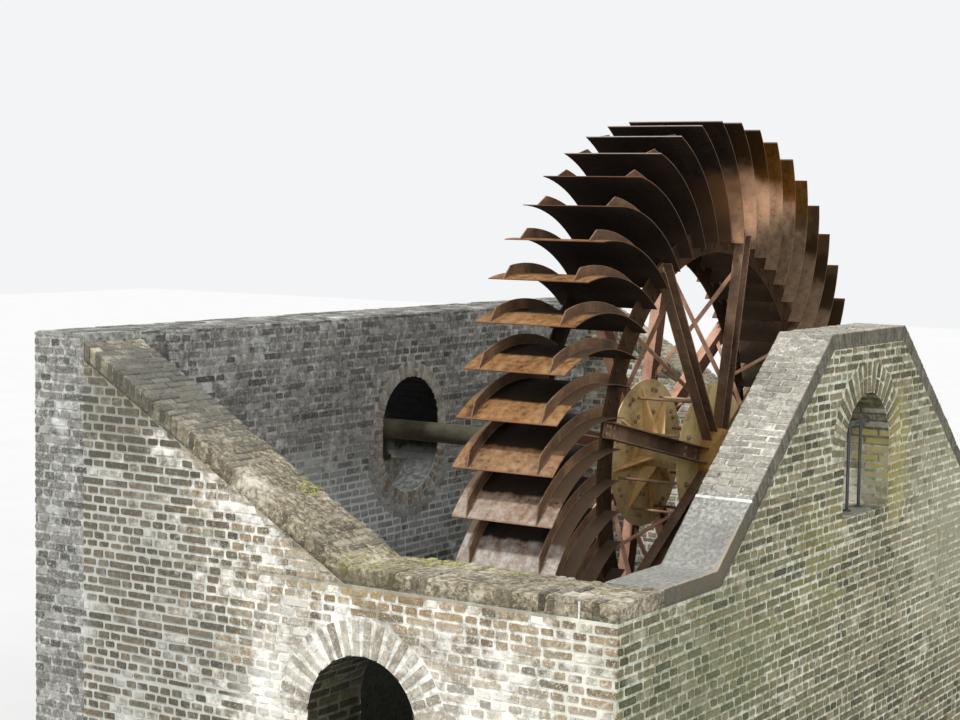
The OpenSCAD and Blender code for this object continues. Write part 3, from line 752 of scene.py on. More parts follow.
def iron_finishes() -> list[RustFinish | BladeFinish]:
    """Gives the finishes of the wheel, bearings and grille."""
    even, lengthwise = (1, 1, 1), (1, 0.4, 0.4)
    return [
        BladeFinish("blade_rust"),
        RustFinish("rib_rust", (0.05, 0.028, 0.018), (0.13, 0.072, 0.04),
                   (0.24, 0.14, 0.075), (0.46, 0.33, 0.23), 0.45, even,
                   (0.16, 0.14, 0.06), 0.25),
        RustFinish("ring_rust", (0.015, 0.008, 0.004), (0.04, 0.022, 0.012),
                   (0.078, 0.045, 0.025), (0.2, 0.115, 0.05), 0.5, (1, 0.5, 0.5),
                   gloss=0.04),
        RustFinish("near_spoke_rust", (0.045, 0.026, 0.014), (0.165, 0.098, 0.062),
                   (0.3, 0.185, 0.125), (0.5, 0.31, 0.2), 0.5, lengthwise,
                   (0.115, 0.095, 0.035), 0.3),
        RustFinish("far_spoke_rust", (0.2, 0.095, 0.055), (0.5, 0.28, 0.185),
                   (0.68, 0.42, 0.3), (0.75, 0.48, 0.34), 0.55, lengthwise,
                   # The webs of the far spokes get painted shade.
                   web_shade=(0.24, 0.2, 0.19)),
        RustFinish("brace_rust", (0.2, 0.095, 0.055), (0.46, 0.255, 0.168),
                   (0.62, 0.38, 0.27), (0.7, 0.45, 0.32)),
        RustFinish("ochre_plate", (0.3, 0.2, 0.085), (0.64, 0.495, 0.255),
                   (0.78, 0.63, 0.36), (0.88, 0.56, 0.24), 0.55, even,
                   (0.36, 0.3, 0.11), 0.35),
        # A lighter copy of ochre_plate for the near disc, which stands in shade: painted light.
        RustFinish("near_ochre_lit_copy", (0.4, 0.27, 0.105), (0.8, 0.6, 0.28),
                   (0.9, 0.73, 0.4), (0.9, 0.62, 0.28), 0.55, even,
                   (0.44, 0.37, 0.14), 0.3),
        RustFinish("gusset_ochre", (0.5, 0.3, 0.11), (0.87, 0.61, 0.27),
                   (0.92, 0.72, 0.4), (0.9, 0.66, 0.36), 0.6, even,
                   (0.4, 0.31, 0.11), 0.15),
        RustFinish("boss_rust", (0.34, 0.16, 0.045), (0.68, 0.385, 0.125),
                   (0.85, 0.54, 0.22), (0.72, 0.47, 0.25), 0.5, even,
                   (0.4, 0.29, 0.13), 0.3),
        RustFinish("rod_rust", (0.13, 0.07, 0.035), (0.33, 0.2, 0.11),
                   (0.56, 0.42, 0.29), (0.62, 0.48, 0.34)),
        RustFinish("shaft_film", (0.032, 0.03, 0.018), (0.09, 0.08, 0.052),
                   (0.19, 0.16, 0.11), (0.24, 0.21, 0.16), 0.5, (0.3, 1, 1),
                   (0.095, 0.09, 0.045), 0.25),
        RustFinish("bearing_iron", (0.03, 0.026, 0.022), (0.075, 0.06, 0.048),
                   (0.15, 0.105, 0.075), (0.26, 0.2, 0.16), 0.45),
        RustFinish("grille_iron", (0.03, 0.031, 0.032), (0.06, 0.062, 0.065),
                   (0.12, 0.122, 0.125), (0.28, 0.29, 0.3), 0.5, (1, 1, 0.3)),
    ]


# ------------------------------------------------------------------- meshes
def shell(rows: int, sides: int) -> list[Corners]:
    """Gives the faces of a closed tube, its foot first and its top last.

    Args:
        rows: Number of rings of points.
        sides: Points in a ring.

    Returns:
        The corners of each face.
    """
    faces: list[Corners] = [tuple(range(sides - 1, -1, -1))]
    for low in range(0, (rows - 1) * sides, sides):
        for i in range(sides):
            j = (i + 1) % sides
            faces.append((low + i, low + j, low + sides + j, low + sides + i))
    faces.append(tuple(range((rows - 1) * sides, rows * sides)))
    return faces


def hoop(middle: Vector, axis: Vector, radius: float, lift: float, sides: int,
         spin: float = 0.0) -> list[tuple[float, ...]]:
    """Gives the corners of one ring of a tube.

    Args:
        middle: Foot of the tube.
        axis: Direction of the tube.
        radius: Radius to the corners.
        lift: Height over the foot.
        sides: Number of corners.
        spin: Turn about the axis.

    Returns:
        The corners in order.
    """
    turn = axis.to_track_quat("Z", "Y").to_matrix()
    angles = [spin + 2 * math.pi * i / sides for i in range(sides)]
    return [tuple(middle + turn @ Vector((radius * math.cos(a), radius * math.sin(a), lift)))
            for a in angles]


class Joined:
    """A mesh of many separate closed pieces, with a tone for each."""

    def __init__(self, seed: int) -> None:
        """Starts an empty mesh, with the seed of its random draws."""
        self.rng = np.random.default_rng(seed)
        self.verts: list[np.ndarray] = []
        self.faces: list[Corners] = []
        self.tones: list[np.ndarray] = []
        self.count = 0

    def tone(self) -> tuple[float, ...]:
        """Draws a tone."""
        return tuple(self.rng.random(3))

    def add(self, verts: list, faces: list[Corners],
            tone: tuple[float, ...] | None = None) -> None:
        """Adds one closed piece.

        Args:
            verts: Its points, one to a row.
            faces: Its faces, counted from its own first point.
            tone: Its tone, drawn where it is None.
        """
        tone = self.tone() if tone is None else tone
        self.verts.append(np.array(verts))
        self.faces.extend(tuple(self.count + i for i in f) for f in faces)
        self.tones.append(np.tile(np.array([*tone, 1.0]), (len(verts), 1)))
        self.count += len(verts)

    def tile(self, corners: list[np.ndarray], normals: np.ndarray, proud: float = PROUD,
             tone: tuple[float, ...] | None = None) -> None:
        """Adds the visible end of a brick, sunk into the wall behind it.

        Args:
            corners: Four corners on the wall, in order round the brick.
            normals: Direction out of the wall, one or one for each corner.
            proud: How far it stands out.
            tone: Its tone, drawn where it is None.
        """
        rng, corners = self.rng, np.array(corners)
        if normals.ndim == 1:
            normals = np.tile(normals, (4, 1))
        sides = np.roll(corners, -1, axis=0) - corners
        if np.dot(np.cross(sides[0], sides[1]), normals[0]) < 0:
            corners, normals = corners[::-1], normals[::-1]
        c = corners + rng.normal(0.0, SHAKE, (4, 3)) * 0.6
        u = 0.5 * (np.linalg.norm(c[1] - c[0]) + np.linalg.norm(c[2] - c[3]))
        v = 0.5 * (np.linalg.norm(c[3] - c[0]) + np.linalg.norm(c[2] - c[1]))
        out = proud * rng.uniform(0.7, 1.3)
        cut = rng.uniform(0.002, 0.009, 8)
        verts = []
        for inset, lift in ((0.0, -SUNK), (BEVEL, out)):
            fu, fv = min(0.35, inset / u), min(0.35, inset / v)
            for i, (a, b) in enumerate(((fu, fv), (1 - fu, fv), (1 - fu, 1 - fv),
                                        (fu, 1 - fv))):
                cu = min(0.3, cut[2 * i] / u) * (1 if a < 0.5 else -1)
                cv = min(0.3, cut[2 * i + 1] / v) * (1 if b < 0.5 else -1)
                pair = [(a, b + cv), (a + cu, b)]
                for p, q in pair if i % 2 == 0 else pair[::-1]:
                    w = ((1 - p) * (1 - q), p * (1 - q), p * q, (1 - p) * q)
                    verts.append(w @ c + (w @ normals) * lift)
        self.add(verts, shell(2, 8), tone)

    def block(self, corners: list, bevel: float, shake: float = 0.002) -> None:
        """Adds a whole brick with worn edges.

        Args:
            corners: Eight corners, as a box counts its bits, lowest first.
            bevel: Width of the worn edges.
            shake: How uneven its corners are.
        """
        c = np.array(corners) + self.rng.normal(0.0, shake, (8, 3)) * 0.6
        size = [np.linalg.norm(c[1 << k] - c[0]) for k in range(3)]
        verts, index = [], {}
        for i in range(8):
            for k in range(3):
                w = np.ones(8)
                for axis in range(3):
                    bit = (i >> axis) & 1
                    f = 0.0 if axis == k else min(0.4, bevel / size[axis])
                    for j in range(8):
                        same = ((j >> axis) & 1) == bit
                        w[j] *= (1 - f) if same else f
                index[i, k] = len(verts)
                verts.append(w @ c)
        faces: list[Corners] = []
        for k, (a, b) in enumerate(((1, 2), (2, 0), (0, 1))):
            for bit in (0, 1):
                faces.append(tuple(index[(bit << k) | (p << a) | (q << b), k]
                                   for p, q in ((0, 0), (1, 0), (1, 1), (0, 1))))
            for p, q in ((0, 0), (0, 1), (1, 0), (1, 1)):
                i = (p << a) | (q << b)
                j = i | (1 << k)
                faces.append((index[i, a], index[j, a], index[j, b], index[i, b]))
        faces += [(index[i, 0], index[i, 1], index[i, 2]) for i in range(8)]
        middle = np.mean(verts, axis=0)
        for number, f in enumerate(faces):
            way = np.cross(verts[f[1]] - verts[f[0]], verts[f[2]] - verts[f[0]])
            if np.dot(way, verts[f[0]] - middle) < 0:
                faces[number] = f[::-1]
        self.add(verts, faces)

    def prism(self, base: Vector | Spot, axis: Vector | Spot, radius: float,
              length: float, sides: int, chamfer: float = 0.0, spin: float = 0.0) -> None:
        """Adds a bolt head, washer or pin.

        Args:
            base: Middle of its foot.
            axis: Direction it stands in.
            radius: Radius to its corners.
            length: Height.
            sides: Number of sides.
            chamfer: Width of the turned top edge.
            spin: Turn about its axis.
        """
        rows = [(0.0, radius), (length - chamfer * 0.6, radius)]
        if chamfer > 0.0:
            rows.append((length, radius - chamfer))
        verts = [corner for lift, r in rows
                 for corner in hoop(Vector(base), Vector(axis), r, lift, sides, spin)]
        self.add(verts, shell(len(rows), sides))

    def bolt(self, base: Vector, axis: Spot, radius: float, length: float) -> None:
        """Adds a six-sided head or nut, turned at random."""
        self.prism(base, axis, radius, length, 6, 0.003, float(self.rng.uniform(0, 1)))

    def bead(self, path: list[Vector], radius: float, sides: int = 5) -> None:
        """Adds a weld bead along a path.

        Args:
            path: Points along its middle.
            radius: Radius of the bead.
            sides: Number of sides.
        """
        verts = []
        for k, point in enumerate(path):
            ahead = path[min(k + 1, len(path) - 1)] - path[max(k - 1, 0)]
            r = radius * float(self.rng.uniform(0.8, 1.2))
            verts += hoop(point, ahead, r, 0.0, sides)
        self.add(verts, shell(len(path), sides))

    def make(self, name: str, material: bpy.types.Material, body: Body, slot: str,
             smooth: bool = False) -> bpy.types.Object:
        """Makes the object and puts it on its body.

        Args:
            name: Name of the piece.
            material: Its finish.
            body: The body it moves with.
            slot: Not used.
            smooth: Whether its faces are shaded smooth.

        Returns:
            The object.
        """
        mesh = bpy.data.meshes.new(name)
        mesh.from_pydata(np.vstack(self.verts).tolist(), [], self.faces)
        tones = mesh.attributes.new("tone", "FLOAT_COLOR", "POINT")
        tones.data.foreach_set("color", np.vstack(self.tones).ravel())
        if smooth:
            mesh.polygons.foreach_set("use_smooth", [True] * len(mesh.polygons))
        mesh.materials.append(material)
        piece = put(name, mesh)
        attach(piece, body.value)
        log.info("%s: %d parts, %d faces", name, len(self.verts), len(self.faces))
        return piece


def rect(u0: float, v0: float, u1: float, v1: float) -> list[Point]:
    """Gives the corners of an upright rectangle."""
    return [(u0, v0), (u1, v0), (u1, v1), (u0, v1)]


def arc(centre: Point, radius: float, start: float, end: float,
        steps: int = 40) -> list[Point]:
    """Gives points along an arc.

    Args:
        centre: Its middle.
        radius: Its radius.
        start: First angle, in degrees.
        end: Last angle.
        steps: Number of stretches.

    Returns:
        The points in order.
    """
    angles = [math.radians(start + (end - start) * i / steps) for i in range(steps + 1)]
    return [(centre[0] + radius * math.cos(a), centre[1] + radius * math.sin(a))
            for a in angles]


@dataclass
class Face:
    """A flat wall face to be laid with bricks.

    Attributes:
        origin: Where both of the face's axes start.
        u: Direction along the courses.
        v: Direction up the courses.
        out: Direction out of the wall.
        edge: Corners of the face.
        holes: Corners of each opening.
        bond: How the bricks are laid.
        course: Height of a course.
    """

    origin: Spot
    u: Spot
    v: Spot
    out: Spot
    edge: list[Point]
    holes: list[list[Point]] = field(default_factory=list)
    bond: Bond = Bond.MIXED
    course: float = COURSE

    def sides(self) -> list[tuple[Point, Point]]:
        """Gives both ends of each side of the outline and its openings."""
        return [side for loop in [self.edge, *self.holes]
                for side in zip(loop, loop[1:] + loop[:1])]

    def spans(self, v: float) -> list[Point]:
        """Gives start and end of each stretch of wall at one height."""
        cuts = sorted(a + (c - a) * (v - b) / (d - b) for (a, b), (c, d) in self.sides()
                      if (b <= v) != (d <= v))
        return list(zip(cuts[::2], cuts[1::2]))

    def strips(self, v0: float, v1: float) -> list[Point]:
        """Cuts a course where the outline has a level edge.

        Args:
            v0: Height of its foot.
            v1: Height of its top.

        Returns:
            Foot and top of each part that is high enough for a brick.
        """
        levels = sorted({b for (_, b), (_, d) in self.sides() if b == d and v0 < b < v1})
        stops = [v0, *levels, v1]
        return [(a + 1e-5 + (0.003 if a in levels else 0.0),
                 b - 1e-5 - (0.003 if b in levels else 0.0))
                for a, b in zip(stops, stops[1:]) if b - a > 0.02]

    def place(self, u: float, v: float) -> np.ndarray:
        """Gives a point of the face."""
        return np.array(self.origin) + u * np.array(self.u) + v * np.array(self.v)

    def row(self, rng: np.random.Generator, start: float, end: float,
            number: int) -> list[Point]:
        """Sets out the bricks of one course.

        Args:
            rng: Random draws.
            start: Where the course starts.
            end: Where it ends.
            number: Number of the course.

        Returns:
            Start and end of each brick.
        """
        headers = {Bond.MIXED: rng.random() < 0.72, Bond.HEADERS: True,
                   Bond.STRETCHERS: False}[self.bond]
        at = start - (0.0, 0.056, 0.113, 0.169)[number % 4] - 0.02 * rng.random()
        bricks = []
        while at < end:
            swap = rng.random() < (0.20 if self.bond is Bond.MIXED else 0.03)
            pitch = (HEADER if headers != swap else STRETCHER) * rng.uniform(0.94, 1.06)
            bricks.append((at, at + pitch - JOINT * rng.uniform(0.8, 1.3)))
            at += pitch
        return bricks

    def lay(self, mesh: Joined) -> None:
        """Lays the bricks of the face on a mesh."""
        left, low = map(min, zip(*self.edge))
        right, high = map(max, zip(*self.edge))
        number, at = 0, low
        while at < high:
            v0, v1 = at + JOINT / 2, min(at + self.course - JOINT / 2, high - 0.004)
            number, at = number + 1, at + self.course
            bricks = self.row(mesh.rng, left, right, number)
            for a, b in self.strips(v0, v1):
                self.strip(mesh, bricks, a, b)

    def strip(self, mesh: Joined, bricks: list[Point], v0: float, v1: float) -> None:
        """Lays one course, cut to the outline.

        Args:
            mesh: Mesh that takes the bricks.
            bricks: Start and end of each brick.
            v0: Height of its foot.
            v1: Height of its top.
        """
        out = np.array(self.out)
        lower, upper = self.spans(v0), self.spans(v1)
        if len(lower) > len(upper):
            upper = lower
        elif len(upper) > len(lower):
            lower = upper
        for (a0, b0), (a1, b1) in zip(lower, upper):
            for start, end in bricks:
                c = [max(start, a0), min(end, b0), min(end, b1), max(start, a1)]
                if min(c[1] - c[0], c[2] - c[3]) < 0.018:
                    if max(c[1] - c[0], c[2] - c[3]) < 0.05:
                        continue
                    c = [c[0], max(c[1], c[0] + 0.012), max(c[2], c[3] + 0.012), c[3]]
                    if c[2] > max(b0, b1) or c[1] > max(b0, b1):
                        continue
                mesh.tile([self.place(c[0], v0), self.place(c[1], v0),
                           self.place(c[2], v1), self.place(c[3], v1)], out)


def facing_x(x: float, out: int, edge: list[Point], *holes: list[Point]) -> Face:
    """Gives an upright face at a place along X, which looks out along X."""
    return Face((x, 0, 0), Y, Z, (out, 0, 0), edge, list(holes))


def facing_y(y: float, out: int, edge: list[Point], *holes: list[Point],
             bond: Bond = Bond.MIXED) -> Face:
    """Gives an upright face at a place along Y, which looks out along Y."""
    return Face((0, y, 0), X, Z, (0, out, 0), edge, list(holes), bond)


@dataclass
class RoundArch:
    """A half-round arch of bricks on edge, with its soffit and jambs.

    Attributes:
        centre: Middle of the arch along the wall, and height of its spring.
        half: Half the width of the opening.
        ring: Height of the ring of bricks.
        foot: Height of the foot of the opening.
        u: Direction along the wall.
        depth: Direction through the wall.
        near: Place of the outer face along the depth.
        far: Place of the inner face along the depth.
        drop: Straight part of a full round, None where the ring stops at the spring.
    """

    centre: Point
    half: float
    ring: float
    foot: float
    u: Spot
    depth: Spot
    near: float
    far: float
    drop: float | None = None

    def place(self, u: float, v: float, d: float) -> np.ndarray:
        """Gives a point from its place along, up and through the wall."""
        return (u * np.array(self.u) + np.array((0.0, 0.0, v))
                + d * np.array(self.depth))

    def hole(self) -> list[Point]:
        """Gives the outline left free by the arch and its opening."""
        x, z = self.centre
        out, left, right = self.half + self.ring, x - self.half, x + self.half
        if self.drop is not None:
            return arc((x, z), out, 0, 180) + arc((x, z - self.drop), out, 180, 360)
        return [(left, self.foot), (right, self.foot), (right, z),
                *arc((x, z), out, 0, 180), (left, z)]

    def turned(self, z: float, start: float) -> list[tuple[Point, Point, Point, Point]]:
        """Sets out the bricks on one half round.

        Args:
            z: Height of its middle.
            start: First angle, in degrees.

        Returns:
            Start and end of each brick on the opening, and directions out there.
        """
        parts, gap = [], JOINT / 2 / self.half
        count = max(1, round(math.pi * self.half / ARCH_PITCH))
        for i in range(count):
            angles = (math.radians(start + 180 * i / count) + gap,
                      math.radians(start + 180 * (i + 1) / count) - gap)
            d0, d1 = ((math.cos(a), math.sin(a)) for a in angles)
            p0, p1 = ((self.centre[0] + self.half * d[0], z + self.half * d[1])
                      for d in (d0, d1))
            parts.append((p0, p1, d0, d1))
        return parts

    def jamb(self, side: float, low: float, pitch: float
             ) -> list[tuple[Point, Point, Point, Point]]:
        """Sets out the bricks on one straight side, from a height to the spring.

        Args:
            side: Side of the opening, -1 or 1.
            low: Height of its foot.
            pitch: Pitch of the bricks.

        Returns:
            The same as for a half round.
        """
        x, high = self.centre[0] + side * self.half, self.centre[1]
        count = max(1, round((high - low) / pitch))
        return [((x, low + (high - low) * i / count + JOINT / 2),
                 (x, low + (high - low) * (i + 1) / count - JOINT / 2),
                 (side, 0.0), (side, 0.0)) for i in range(count)]

    def stations(self) -> list[tuple[Point, Point, Point, Point]]:
        """Sets out the bricks of the ring."""
        z = self.centre[1]
        parts = self.turned(z, 0)
        if self.drop is not None:
            low = z - self.drop
            parts += (self.turned(low, 180) + self.jamb(1.0, low, ARCH_PITCH)
                      + self.jamb(-1.0, low, ARCH_PITCH))
        return parts

    def lay(self, mesh: Joined) -> None:
        """Lays the ring on both faces of the wall."""
        spread, reach = 0.30, self.ring - 0.006
        for p0, p1, d0, d1 in self.stations():
            tone = mesh.tone()
            d0, d1 = np.array(d0), np.array(d1)
            mid = (d0 + d1) / 2
            e0, e1 = mid + spread * (d0 - mid), mid + spread * (d1 - mid)
            split = mesh.rng.random() < 0.35
            parts = [(0.004, reach)] if not split else [
                (0.004, reach * 0.48), (reach * 0.48 + 0.012, reach)]
            for d, other in ((self.near, self.far), (self.far, self.near)):
                out = np.array(self.depth) * math.copysign(1, d - other)
                for r0, r1 in parts:
                    mesh.tile([self.place(p[0] + r * e[0], p[1] + r * e[1], d)
                               for p, r, e in ((p0, r0, e0), (p1, r0, e1), (p1, r1, e1),
                                               (p0, r1, e0))], out, tone=tone)

    def line(self, mesh: Joined) -> None:
        """Lays the soffit and jambs on a mesh."""
        low, high = sorted((self.near, self.far))
        rows = self.stations()
        if self.drop is None:
            rows += self.jamb(-1.0, self.foot, COURSE) + self.jamb(1.0, self.foot, COURSE)
        for number, (p0, p1, d0, d1) in enumerate(rows):
            at = low - (0.0, 0.112)[number % 2]
            inward = np.array([self.place(-d[0], -d[1], 0) for d in (d0, d1, d1, d0)])
            while at < high:
                a, b = max(at, low - 0.003), min(at + 0.209, high + 0.003)
                at += 0.225
                if b - a >= 0.03:
                    mesh.tile([self.place(*p0, a), self.place(*p1, a),
                               self.place(*p1, b), self.place(*p0, b)], inward, 0.003)


@dataclass
class Coping:
    """A run of coping, of bricks on edge or of worn cement.

    Attributes:
        name: Name of the pieces, and of the solid that they stand for.
        top: Corners of its top line, along the wall and up.
        under: Corners of its bottom line.
        along: Axis of the wall, 0 for X and 1 for Y.
        width: Place of its two sides.
        bricks: Stretch along the wall that is laid with bricks.
        seed: Seed of its random draws.
        worn: Radius of its worn edges.
        relief: How far its bricks stand out of the joints.
        rough: How uneven it is.
        buried: Share of the bricks that lie under cement at the low end.
        gap: Half the width of a joint.
        pitch: Pitch of the rows of bricks.
    """

    name: str
    top: list[Point]
    under: list[Point]
    along: int
    width: Point
    bricks: Point
    seed: int
    worn: float = 0.012
    relief: float = 0.003
    rough: float = 1.0
    buried: float = 0.0
    gap: float = 0.0045
    pitch: float = 0.061

    def place(self, s: float, z: float, w: float) -> np.ndarray:
        """Gives a point from its place along, up and across the wall."""
        return np.array((s, w, z) if self.along == 0 else (w, s, z))

    def stations(self, step: float) -> list[tuple[np.ndarray, np.ndarray]]:
        """Steps along the coping.

        Args:
            step: Length of a step.

        Returns:
            Points of the top line and bottom line, step by step.
        """
        places, top, under = [], np.array(self.top), np.array(self.under)
        for k in range(len(top) - 1):
            ahead, below = top[k + 1] - top[k], under[k + 1] - under[k]
            count = max(1, round(float(np.linalg.norm(ahead)) / step))
            places += [(top[k] + i / count * ahead, under[k] + i / count * below)
                       for i in range(count)]
        return [*places, (top[-1], under[-1])]

    def laid(self, point: np.ndarray) -> bool:
        """Tells whether a place along the wall is laid with bricks."""
        return self.bricks[0] <= float(point[0]) <= self.bricks[1]

    def core(self, material: bpy.types.Material) -> None:
        """Builds the body of the coping, wavy and worn."""
        mesh, r = Joined(self.seed), self.worn
        w0, w1 = self.width
        mid = (w0 + w1) / 2
        across = np.linspace(w0 + r, w1 - r, 12)
        ring = [(w0, 1.0), (w1, 1.0), (w1, 0.55), (w1, r / COPING),
                (w1 - 0.29 * r, 0.29 * r / COPING)]
        ring += [(float(w), 0.0) for w in across[::-1]]
        ring += [(w0 + 0.29 * r, 0.29 * r / COPING), (w0, r / COPING), (w0, 0.55)]
        wave = mesh.rng.uniform(0, 6.28, 8)
        verts, places = [], self.stations(0.028)
        for top, under in places:
            sunk = self.relief if self.laid(top) else 0.0
            down = (under - top) / np.linalg.norm(under - top)
            for w, d in ring:
                point, side = top + (under - top) * d, w
                bump = (math.sin(9 * point[0] + 7 * w + wave[0])
                        + math.sin(23 * point[0] - 17 * w + wave[1]) * 0.7
                        + math.sin(57 * point[0] + 41 * w + wave[2]) * 0.5
                        + math.sin(88 * point[0] - 73 * w + wave[3]) * 0.4)
                dip = sunk + 0.0016 * self.rough * (bump + 1.6) if d < 0.9 else 0.0
                if d < 0.2:
                    point = point + down * dip
                if abs(w - w0) < 1e-6 or abs(w - w1) < 1e-6:
                    side = w + math.copysign(dip, mid - w)
                verts.append(self.place(point[0], point[1], side))
        n, last = len(ring), (len(places) - 1) * len(ring)
        faces: list[Corners] = [tuple(range(n))]
        for low in range(0, last, n):
            for i in range(n):
                j = (i + 1) % n
                faces.append((low + i, low + n + i, low + n + j, low + j))
        faces.append(tuple(range(last + n - 1, last - 1, -1)))
        ahead = self.top[-1][0] > self.top[0][0]
        if ahead != (self.along == 1):
            faces = [f[::-1] for f in faces]
        mesh.add(verts, faces)
        piece = mesh.make(self.name + "_bed", material, Body.PIT, "coping_brick", True)
        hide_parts(self.name)

    def cuts(self, row: int) -> list[float]:
        """Gives the joints across one row, which every other row shifts by half."""
        w0, w1 = self.width
        count = max(2, round((w1 - w0) / 0.205))
        if row % 2 == 0:
            return [w0 + (w1 - w0) * i / count for i in range(count + 1)]
        half = (w1 - w0) / count / 2
        return [w0] + [w0 + half + (w1 - w0) * i / count for i in range(count)] + [w1]

    def blocks(self, material: bpy.types.Material) -> None:
        """Lays the bricks on edge."""
        mesh = Joined(self.seed + 50)
        w0, w1 = self.width
        places = self.stations(self.pitch)
        for k, ((t0, u0), (t1, u1)) in enumerate(zip(places, places[1:])):
            if not (self.laid(t0) and self.laid(t1)):
                continue
            g = self.gap / float(np.linalg.norm(t1 - t0))
            ends = ((t0 + g * (t1 - t0), u0 + g * (u1 - u0)),
                    (t1 - g * (t1 - t0), u1 - g * (u1 - u0)))
            lift = float(mesh.rng.normal(0.0, 0.0010 * self.rough))
            down_slope = min(1.0, max(0.0, float(t0[0]) + 1.05))
            cuts = self.cuts(k)
            for a, b in zip(cuts, cuts[1:]):
                if mesh.rng.random() < self.buried * down_slope:
                    continue
                a2 = a + (JOINT / 2 if a > w0 else 0.001)
                b2 = b - (JOINT / 2 if b < w1 else 0.001)
                rise = lift + float(mesh.rng.normal(0.0, 0.0010 * self.rough))
                corners = []
                for i in range(8):
                    top, under = ends[i & 1]
                    down = (under - top) / np.linalg.norm(under - top)
                    point = top + down * ((0.002 - rise) if i & 4 else COPING - 0.001)
                    corners.append(self.place(point[0], point[1], b2 if i & 2 else a2))
                mesh.block(corners, 0.003 + 0.002 * self.rough, 0.0016 * self.rough)
        mesh.make(self.name + "_bricks", material, Body.PIT, "coping_brick")


